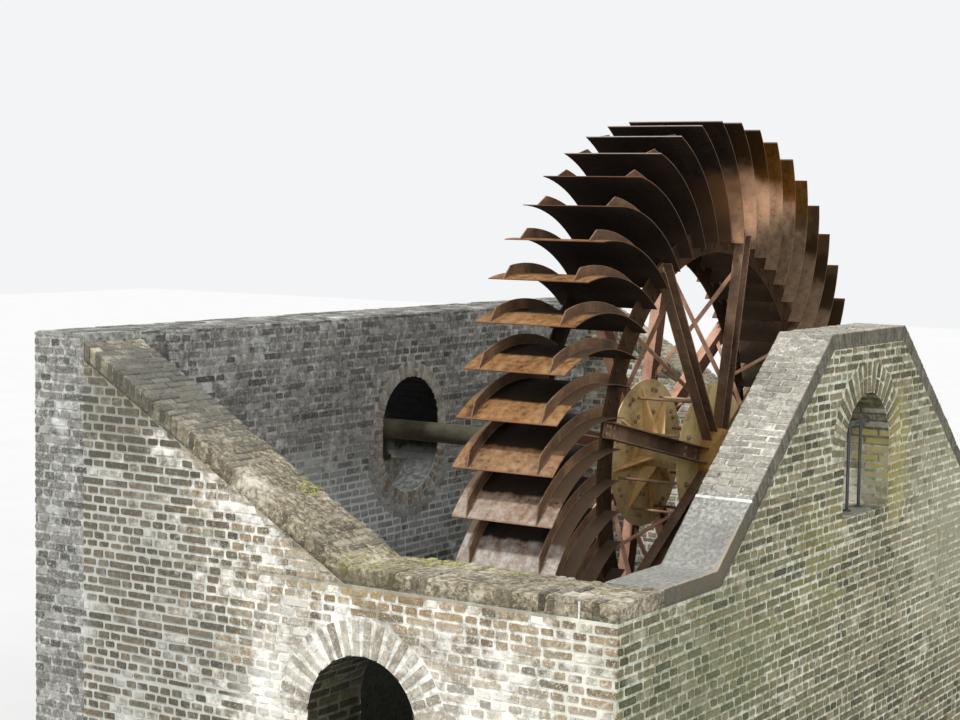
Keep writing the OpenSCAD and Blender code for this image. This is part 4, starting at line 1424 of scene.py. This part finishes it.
# -------------------------------------------------------------- sub-assemblies
@dataclass
class PitMasonry:
    """Brickwork of the pit: outer wall, end walls, mill wall and pier.

    Attributes:
        finishes: Materials by name.
        corner: How far bricks reach round a corner.
        joint_y: Place of the white joint in each sloping coping.
        hatch: Arch of the hatch.
        eye: Ring of the opening that the shaft goes through.
    """

    finishes: Materials
    corner: float = 0.0042
    joint_y: float = 2.00
    hatch: RoundArch = field(default_factory=lambda: RoundArch(
        (0.0, 2.906), 0.443, 0.24, SILL, Y, X, OUTER_OUT, OUTER_IN))
    eye: RoundArch = field(default_factory=lambda: RoundArch(
        (0.0, 2.8035), 0.406, 0.125, 2.2, Y, X, MILL_FACE, MILL_BACK, 0.173))

    def piece(self, name: str, finish: str, slot: str, seed: int,
              *parts: Callable[[Joined], None]) -> None:
        """Builds one piece.

        Args:
            name: Name of the piece.
            finish: Name of its finish.
            slot: Its material slot.
            seed: Seed of its random draws.
            parts: What is laid on its mesh, in order.
        """
        mesh = Joined(seed)
        for part in parts:
            part(mesh)
        mesh.make(name, self.finishes[finish], Body.PIT, slot)

    def outer_edge(self, half: float) -> list[Point]:
        """Gives the outline of the outer wall under its coping."""
        low, top = LOW_TOP - COPING, OUTER_TOP - COPING
        return [(-half, 0.0), (half, 0.0), (half, low), (SLOPE_HALF - SLOPE_IN, low),
                (TOP_HALF - SLOPE_IN, top), (SLOPE_IN - TOP_HALF, top),
                (SLOPE_IN - SLOPE_HALF, low), (-half, low)]

    def end_edge(self, right: float) -> list[Point]:
        """Gives the outline of an end wall under its coping."""
        low = LOW_TOP - COPING
        return [(STEP_FACE, 0.0), (right, 0.0), (right, low), (RISE_X - RISE_IN, low),
                (STEP_FACE, RISE_TOP - COPING / math.cos(RISE_A))]

    def outer_wall(self) -> None:
        """Lays the outer wall and the arch of its hatch."""
        hole, past = self.hatch.hole(), OUTER_OUT + self.corner
        self.piece("outer_wall_bricks_out", "outer_brick", "wall_brick", 11, facing_x(
            OUTER_OUT, 1, self.outer_edge(PIT_HALF + self.corner), hole).lay)
        self.piece("outer_wall_bricks_in", "outer_brick", "wall_brick", 12, facing_x(
            OUTER_IN, -1, self.outer_edge(PIT_IN), hole,
            rect(-PIER_HALF, -0.01, PIER_HALF, 2.449)).lay)
        self.piece("hatch_arch_bricks", "outer_brick", "arch_brick", 13, self.hatch.lay)
        self.piece("hatch_reveal_bricks", "hatch_brick", "arch_brick", 14, self.hatch.line,
                   Face((0, 0, SILL), X, Y, Z, rect(OUTER_IN, -0.44, past, 0.44), [],
                        Bond.STRETCHERS, 0.078).lay)

    def end_walls(self) -> None:
        """Lays the front and back walls and their culvert arches."""
        for name, sign, seed in (("front", -1, 21), ("back", 1, 31)):
            arch = RoundArch((0.64, 1.406), 0.424, 0.24, 0.0, X, Y, sign * PIT_HALF,
                             sign * PIT_IN)
            self.piece(name + "_wall_bricks", "front_brick", "limed_brick", seed,
                       facing_y(sign * PIT_HALF, sign,
                                self.end_edge(OUTER_OUT + self.corner), arch.hole()).lay,
                       facing_y(sign * PIT_IN, -sign, self.end_edge(OUTER_IN),
                                arch.hole()).lay)
            self.piece(name + "_arch_bricks", "arch_brick", "arch_brick", seed + 1, arch.lay)
            # The soffits take a near black finish: wet brick and painted shade.
            self.piece(name + "_soffit_bricks", "wet_shaded_brick", "arch_brick", seed + 2,
                       arch.line)

    def mill_wall(self) -> None:
        """Lays the mill wall, its stepped ends, its top and the ring of the eye."""
        hole, half = self.eye.hole(), PIT_HALF + self.corner
        inside = [facing_x(MILL_FACE, 1, rect(-STEP_Y, 0, STEP_Y, MILL_TOP), hole).lay]
        for sign in (-1, 1):
            a, b = sorted((sign * STEP_Y, sign * PIT_IN))
            inside += [
                facing_x(STEP_FACE, 1, rect(a, 0, b, MILL_TOP)).lay,
                facing_y(sign * STEP_Y, sign, rect(
                    STEP_FACE, 0, MILL_FACE + self.corner, MILL_TOP), bond=Bond.HEADERS).lay,
                facing_y(sign * PIT_HALF, sign, rect(MILL_BACK, 0, STEP_FACE, MILL_TOP)).lay]
        self.piece("mill_wall_bricks_in", "mill_brick", "mill_brick", 41, *inside)
        behind = [facing_x(MILL_BACK, -1, rect(-half, 0, half, MILL_TOP), hole).lay]
        for a, b, right in ((-STEP_Y, STEP_Y, MILL_FACE), (STEP_Y, PIT_HALF, STEP_FACE),
                            (-PIT_HALF, -STEP_Y, STEP_FACE)):
            behind.append(Face((0, 0, MILL_TOP), Y, X, Z, rect(a, MILL_BACK, b, right), [],
                               Bond.STRETCHERS, 0.118).lay)
        self.piece("mill_wall_bricks_back", "mill_brick", "mill_brick", 42, *behind)
        self.piece("eye_ring_bricks", "eye_brick", "arch_brick", 43, self.eye.lay)
        self.piece("eye_reveal_bricks", "eye_reveal_shaded_brick", "arch_brick", 44, self.eye.line)

    def pier(self) -> None:
        """Lays the three open sides of the pier under the outer bearing."""
        top = 2.445
        self.piece("pier_bricks", "outer_brick", "wall_brick", 51,
                   facing_x(1.66, -1, rect(-0.314, 0, 0.314, top)).lay,
                   *(facing_y(sign * PIER_HALF, sign, rect(1.656, 0, OUTER_IN, top)).lay
                     for sign in (-1, 1)))

    def copings(self) -> None:
        """Builds the copings of the outer wall and the end walls."""
        low, top = LOW_TOP, OUTER_TOP
        under = low - COPING
        line = [(PIT_IN, low), (SLOPE_HALF, low), (TOP_HALF, top)]
        base = [(PIT_IN, under), (SLOPE_HALF - SLOPE_IN, under),
                (TOP_HALF - SLOPE_IN, top - COPING)]
        width = (OUTER_IN, OUTER_OUT)
        runs = [
            Coping("outer_coping_front", [(-a, b) for a, b in line],
                   [(-a, b) for a, b in base], 1, width, (-1.99, 0.0), 61),
            Coping("outer_coping_back", line, base, 1, width, (0.0, 1.99), 62),
            Coping("outer_coping_top", [(-TOP_HALF, top), (TOP_HALF, top)],
                   [(SLOPE_IN - TOP_HALF, top - COPING), (TOP_HALF - SLOPE_IN, top - COPING)],
                   1, width, (-1.0, 1.0), 63)]
        end_top = [(OUTER_OUT, low), (RISE_X, low), (STEP_FACE, RISE_TOP)]
        end_under = [(OUTER_OUT, under), (RISE_X - RISE_IN, under),
                     (STEP_FACE, RISE_TOP - COPING / math.cos(RISE_A))]
        for name, edge, seed in (("front", (-PIT_HALF, -PIT_IN), 64),
                                 ("back", (PIT_IN, PIT_HALF), 65)):
            runs.append(Coping(name + "_coping", end_top, end_under, 0, edge, (-1.78, 2.50),
                               seed, 0.022, 0.0035, 1.8, 0.72))
        for run in runs:
            bed, brick = (("coping_joint", "coping_brick") if run.along == 1
                          else ("end_coping_cement", "end_coping_brick"))
            run.core(self.finishes[bed])
            run.blocks(self.finishes[brick])

    def coping_joints(self) -> None:
        """Fills the white joints of the outer coping."""
        joint, flip = Joined(67), np.array((-1, 1))
        slope = np.array((math.cos(SLOPE_A), math.sin(SLOPE_A)))
        foot = np.array((SLOPE_HALF, LOW_TOP))
        start = foot + flip * slope * (SLOPE_HALF - self.joint_y) / slope[0]
        for sign in (-1, 1):
            corners = []
            for i in range(8):
                p = start + flip * slope * (0.022 if i & 1 else 0.0)
                p = p + np.array((slope[1], slope[0])) * (0.0015 if i & 4 else -0.02)
                corners.append((OUTER_OUT - 0.004 if i & 2 else OUTER_IN + 0.004,
                                sign * p[0], p[1]))
            joint.block(corners, 0.003)
            joint.block([(2.226 if i & 1 else 2.213,
                          sign * (PIT_HALF + (0.003 if i & 2 else -0.02)),
                          LOW_TOP - (0.010 if i & 4 else COPING)) for i in range(8)], 0.002)
        joint.make("outer_coping_joints", self.finishes["white_joint"], Body.PIT,
                   "coping_brick")

    def build(self) -> None:
        """Builds all the brickwork."""
        self.outer_wall()
        self.end_walls()
        self.mill_wall()
        self.pier()
        self.copings()
        self.coping_joints()


@dataclass
class WheelIron:
    """Bolts and welds of the wheel.

    Attributes:
        finishes: Materials by name.
        blades: Number of blades.
        phase: Turn of the first blade tip from the top, in degrees.
        frame_x: Inner face of a ring or disc, from the middle of the wheel.
        ring_face: Outer face of a ring or disc.
        spokes: Number of spokes in a frame.
        spoke_phase: Turn of the first spoke.
        gusset_phase: Turn of the first gusset.
        tip_r: Radius of the blade tips.
        root_r: Radius of the blade roots.
        lead: Angle by which a root leads its tip, in degrees.
        bow: Radius of the curve of a blade.
        plate: Thickness of a blade.
    """

    finishes: Materials
    blades: int = 48
    phase: float = 4.2
    frame_x: float = 0.283
    ring_face: float = 0.293
    spokes: int = 8
    spoke_phase: float = 32.5
    gusset_phase: float = 10.0
    tip_r: float = 2.600
    root_r: float = 1.685
    lead: float = 12.6
    bow: float = 1.155
    plate: float = 0.006

    def at(self, x: float, radius: float, angle: float) -> Vector:
        """Gives a point of the wheel, its angle counted from the back to the top."""
        a = math.radians(angle)
        return Vector((AXLE[0] + x, radius * math.cos(a), AXLE[2] + radius * math.sin(a)))

    def spun(self, x: float, radius: float, side: float, angle: float) -> Vector:
        """Gives a point beside a spoke, which starts upright and leans to the front."""
        a = math.radians(angle)
        y = -radius * math.sin(a) + side * math.cos(a)
        z = radius * math.cos(a) + side * math.sin(a)
        return Vector((AXLE[0] + x, y, AXLE[2] + z))

    def curve(self) -> list[Point]:
        """Gives the round face of a blade, with its tip on the first axis."""
        tip = Vector((self.tip_r, 0.0))
        a = math.radians(-self.lead)
        root = Vector((self.root_r * math.cos(a), self.root_r * math.sin(a)))
        chord = tip - root
        way = chord.normalized()
        rise = math.sqrt(self.bow ** 2 - (chord.length / 2) ** 2)
        mid = (tip + root) / 2 + rise * Vector((-way.y, way.x))
        start = math.atan2(tip.y - mid.y, tip.x - mid.x)
        end = math.atan2(root.y - mid.y, root.x - mid.x)
        radius = self.bow + self.plate / 2 + 0.002
        angles = [start + (end - start) * i / 16 for i in range(1, 16)]
        return [(mid.x + radius * math.cos(a), mid.y + radius * math.sin(a)) for a in angles]

    def rim(self) -> None:
        """Bolts the blades and ribs to the rings, and welds the ribs."""
        bolts, welds = Joined(71), Joined(72)
        line = self.curve()
        for i in range(self.blades):
            angle = 90 + self.phase + i * 360 / self.blades
            cos, sin = math.cos(math.radians(angle)), math.sin(math.radians(angle))
            for side in (-1, 1):
                for radius, lead in ((1.648, 10.4), (1.752, 8.2)):
                    for way, x in ((side, self.ring_face), (-side, self.frame_x)):
                        bolts.bolt(self.at(side * x, radius, angle - lead), (way, 0, 0),
                                   0.0165, 0.012)
                for x in (self.frame_x - 0.0095, self.frame_x - 0.0005):
                    welds.bead([Vector((AXLE[0] + side * x, p * cos - q * sin,
                                        AXLE[2] + p * sin + q * cos)) for p, q in line],
                               0.0042)
        bolts.make("ring_bolts", self.finishes["ring_rust"], Body.WHEEL, "ring_steel")
        welds.make("rib_welds", self.finishes["rib_rust"], Body.WHEEL, "rib_steel", True)

    def spoke_bolts(self) -> None:
        """Bolts the spokes to the rings and discs."""
        mesh = Joined(73)
        for i in range(self.spokes):
            angle = self.spoke_phase + i * 360 / self.spokes
            for side in (-1, 1):
                for radius in (0.330, 0.500, 1.640, 1.700, 1.745):
                    for across in (-0.030, 0.030):
                        head = self.spun(side * (self.ring_face + 0.007), radius, across, angle)
                        nut = self.spun(side * self.frame_x, radius, across, angle)
                        mesh.bolt(head, (side, 0, 0), 0.0180, 0.013)
                        mesh.bolt(nut, (-side, 0, 0), 0.0180, 0.015)
        mesh.make("spoke_bolts", self.finishes["rod_rust"], Body.WHEEL, "rod_steel")

    def hub(self) -> None:
        """Welds the gussets, bosses and sleeve, and keys the bosses."""
        mesh, bead, sleeve = Joined(74), 0.0045, 0.117
        for i in range(self.spokes):
            angle = self.gusset_phase + i * 360 / self.spokes
            for side in (-1, 1):
                for face in (-0.0075, 0.0075):
                    mesh.bead([self.spun(side * (self.frame_x - 0.002), 0.12 + 0.04 * k,
                                         face, angle) for k in range(11)], bead)
                    mesh.bead([self.spun(side * (self.frame_x - 0.013 * k), sleeve, face,
                                         angle) for k in range(10)], bead)
        for side in (-1, 1):
            for x, radius in ((self.ring_face + 0.1205, 0.086),
                              (self.frame_x - 0.003, sleeve)):
                mesh.bead([self.spun(side * x, radius, 0.0, 360 * k / 40)
                           for k in range(41)], 0.006)
            for turn in (0, 180):
                key = self.spun(side * (self.ring_face + 0.119), 0.096, 0.0,
                                self.spoke_phase + 22.5 + turn)
                mesh.prism(key, (side, 0, 0), 0.020, 0.030, 4, 0.003, 0.785)
        mesh.make("hub_welds", self.finishes["boss_rust"], Body.WHEEL, "boss_steel", True)

    def build(self) -> None:
        """Builds the bolts and welds."""
        self.rim()
        self.spoke_bolts()
        self.hub()


@dataclass
class Bearings:
    """Bolts, caps and cups of the two pedestal bearings.

    Attributes:
        finishes: Materials by name.
        middles: Place of each along the shaft.
        radius: Radius of the housing.
        foot: Height of the top of the foot.
        foot_half: Distance of the foot's bolts from the shaft.
        bolt_x: Half the distance between two bolts along the shaft.
    """

    finishes: Materials
    middles: Point = (1.820, -2.080)
    radius: float = 0.15
    foot: float = 2.490
    foot_half: float = 0.185
    bolt_x: float = 0.045

    def build(self) -> None:
        """Builds the fastenings of both bearings."""
        mesh, cap = Joined(81), AXLE[2] + self.radius
        pairs = [(side, dx) for side in (-1, 1) for dx in (-self.bolt_x, self.bolt_x)]
        for x in self.middles:
            for side, dx in pairs:
                spot = (x + dx, side * self.foot_half)
                mesh.prism((*spot, self.foot), Z, 0.026, 0.004, 16)
                mesh.prism((*spot, self.foot + 0.004), Z, 0.0205, 0.016, 6, 0.003, 0.3)
                mesh.prism((*spot, self.foot + 0.020), Z, 0.010, 0.012, 12, 0.002)
            mesh.prism((x, 0.0, cap - 0.004), Z, 0.030, 0.016, 24, 0.003)
            mesh.prism((x, 0.0, cap + 0.012), Z, 0.022, 0.040, 24, 0.006)
            for side, dx in pairs:
                mesh.prism((x + dx, side * self.radius, AXLE[2] - 0.018), (0, side, 0),
                           0.017, 0.014, 6, 0.003)
        mesh.make("bearing_fixings", self.finishes["bearing_iron"], Body.PIT, "bearing_iron")


@dataclass
class HatchIron:
    """Hinge pins and fixings of the hatch grille.

    Attributes:
        finishes: Materials by name.
        bar_x: Place of the grille across the wall.
        pin_x: Place of the hinge pins.
        steps: Place of each upright along the wall.
        pins: Height of each hinge pin.
    """

    finishes: Materials
    bar_x: float = 2.328
    pin_x: float = 2.400
    steps: Spot = (-0.224, 0.0, 0.224)
    pins: Point = (2.62, 2.86)

    def build(self) -> None:
        """Builds the pintles and the rivets of the rail."""
        mesh = Joined(82)
        for z in self.pins:
            mesh.prism((self.pin_x, -0.446, z), Y, 0.014, 0.052, 12, 0.002)
            mesh.prism((self.pin_x, -0.402, z - 0.028), Z, 0.011, 0.070, 12, 0.002)
        for y in self.steps:
            mesh.prism((self.bar_x + 0.011, y, 3.104), X, 0.010, 0.008, 12, 0.003)
            mesh.prism((self.bar_x + 0.006, y, 2.449), Z, 0.030, 0.012, 16, 0.003)
        mesh.make("hatch_fixings", self.finishes["grille_iron"], Body.PIT, "grille_iron")


@dataclass
class NodeDress:
    """Gives each solid of the frame that stays its finish."""

    finishes: Materials

    def plan(self) -> dict[str, str]:
        """Lists the solids under the name of their finish."""
        return {
            "outer_mortar": "outer_wall_front outer_wall_back bearing_pier",
            "hatch_mortar": "outer_arch",
            "front_mortar": "front_wall_left front_wall_right front_arch "
                            "back_wall_left back_wall_right back_arch",
            "mill_mortar": "mill_wall_front mill_wall_back",
            "eye_mortar": "eye_ring",
            "padstone": "padstone",
            "bearing_iron": "outer_bearing mill_bearing",
            "grille_iron": "hatch_grille",
            "shaft_film": "shaft",
            "ochre_plate": "sleeve far_disc",
            "near_ochre_lit_copy": "near_disc",
            "boss_rust": "near_boss far_boss",
            "gusset_ochre": "near_gussets far_gussets",
            "rod_rust": "tie_rods",
            "near_spoke_rust": "near_spokes",
            "far_spoke_rust": "far_spokes",
            "brace_rust": "braces",
            "ring_rust": "near_ring far_ring",
            "rib_rust": "near_ribs far_ribs",
            "blade_rust": " ".join(f"blades_{i}" for i in range(1, 9))}

    def build(self) -> None:
        """Assigns the finishes."""
        for finish, names in self.plan().items():
            for name in names.split():
                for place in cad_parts[name].material_slots:
                    place.material = self.finishes[finish]
                log.info("%s: %s", name, finish)


@dataclass
class Stage:
    """Plain floor, soft light, pale background and the camera.

    Attributes:
        spot: Place of the camera.
        yaw: Turn of the camera to the left, in radians.
        pitch: Lean of the camera down.
        roll: Roll of the camera.
        lens: Focal length for a sensor 36 mm wide.
        suns: Name, direction, power and spread in degrees of each light.
        sky: Strength of the pale surroundings as a light.
        shown: Strength by which the camera sees them.
        half: Half the width of the floor.
    """

    spot: Spot = (7.7765, -13.4758, 4.7164)
    yaw: float = 0.5744
    pitch: float = 0.0823
    roll: float = 0.0155
    lens: float = 72.42
    suns: tuple[tuple[str, Spot, float, float], ...] = (
        ("key", (-0.19, -0.46, 0.87), 2.6, 5), ("fill", (0.80, -0.50, 0.42), 0.9, 40))
    sky: float = 0.68
    shown: float = 0.92
    half: float = 60.0

    def floor(self) -> None:
        """Lays the floor."""
        s = Shader(bpy.data.materials.new("floor_pale"))
        grain = s.noise(0.8, 2.0)
        colour = grain.ramp((0.3, (0.63, 0.63, 0.62)), (0.7, (0.65, 0.65, 0.64)))
        material = s.finish(colour, 0.9, grain, 0.001, 0.1)
        mesh = bpy.data.meshes.new("floor")
        corners = rect(-self.half, -self.half, self.half, self.half)
        mesh.from_pydata([(x, y, -0.001) for x, y in corners], [], [(0, 1, 2, 3)])
        mesh.materials.append(material)
        floor = put("floor", mesh)

    def light(self) -> None:
        """Sets the suns and the pale surroundings."""
        for name, way, power, spread in self.suns:
            lamp = bpy.data.lights.new(name, "SUN")
            lamp.energy = power
            lamp.angle = math.radians(spread)
            lit = put(name, lamp)
            lit.rotation_mode = "QUATERNION"
            lit.rotation_quaternion = Vector(way).to_track_quat("Z", "Y")
        s = Shader(bpy.data.worlds.new("surroundings"))
        bpy.context.scene.world = s.owner
        camera, glossy, clear = (s.node("LightPath", out=f"Is {ray} Ray")
                                 for ray in ("Camera", "Glossy", "Transmission"))
        seen = s.maths("MAXIMUM", s.maths("MAXIMUM", camera, glossy), clear)
        strength = s.node("MapRange", {
            "Value": seen, "To Min": self.sky, "To Max": self.shown})
        s.close("OutputWorld", s.node("Background", {
            "Color": (0.97, 0.985, 1.0), "Strength": strength}))

    def camera(self) -> None:
        """Sets the camera where the photograph was taken."""
        lens = bpy.data.cameras.new("view")
        lens.lens = self.lens
        lens.sensor_width = 36.0
        lens.clip_end = 200.0
        camera = put("view", lens)
        ahead = Vector((-math.sin(self.yaw) * math.cos(self.pitch),
                        math.cos(self.yaw) * math.cos(self.pitch), -math.sin(self.pitch)))
        level = Vector((math.cos(self.yaw), math.sin(self.yaw), 0.0))
        rise = level.cross(ahead)
        right = math.cos(self.roll) * level + math.sin(self.roll) * rise
        up = -math.sin(self.roll) * level + math.cos(self.roll) * rise
        turn = Matrix((right, up, -ahead)).transposed()
        camera.matrix_world = Matrix.Translation(self.spot) @ turn.to_4x4()
        bpy.context.scene.camera = camera

    def build(self) -> None:
        """Builds the stage."""
        bpy.context.scene.view_settings.view_transform = "Standard"
        self.floor()
        self.light()
        self.camera()


def main() -> None:
    """Builds every class in order."""
    logging.basicConfig(level=logging.INFO, format="%(name)s: %(message)s")
    Stage().build()
    finishes = {finish.name: finish.material() for finish in (
        *wall_finishes(), *mill_finishes(), *coping_finishes(), *iron_finishes())}
    NodeDress(finishes).build()
    PitMasonry(finishes).build()
    WheelIron(finishes).build()
    Bearings(finishes).build()
    HatchIron(finishes).build()


if __name__ == "__main__":
    main()
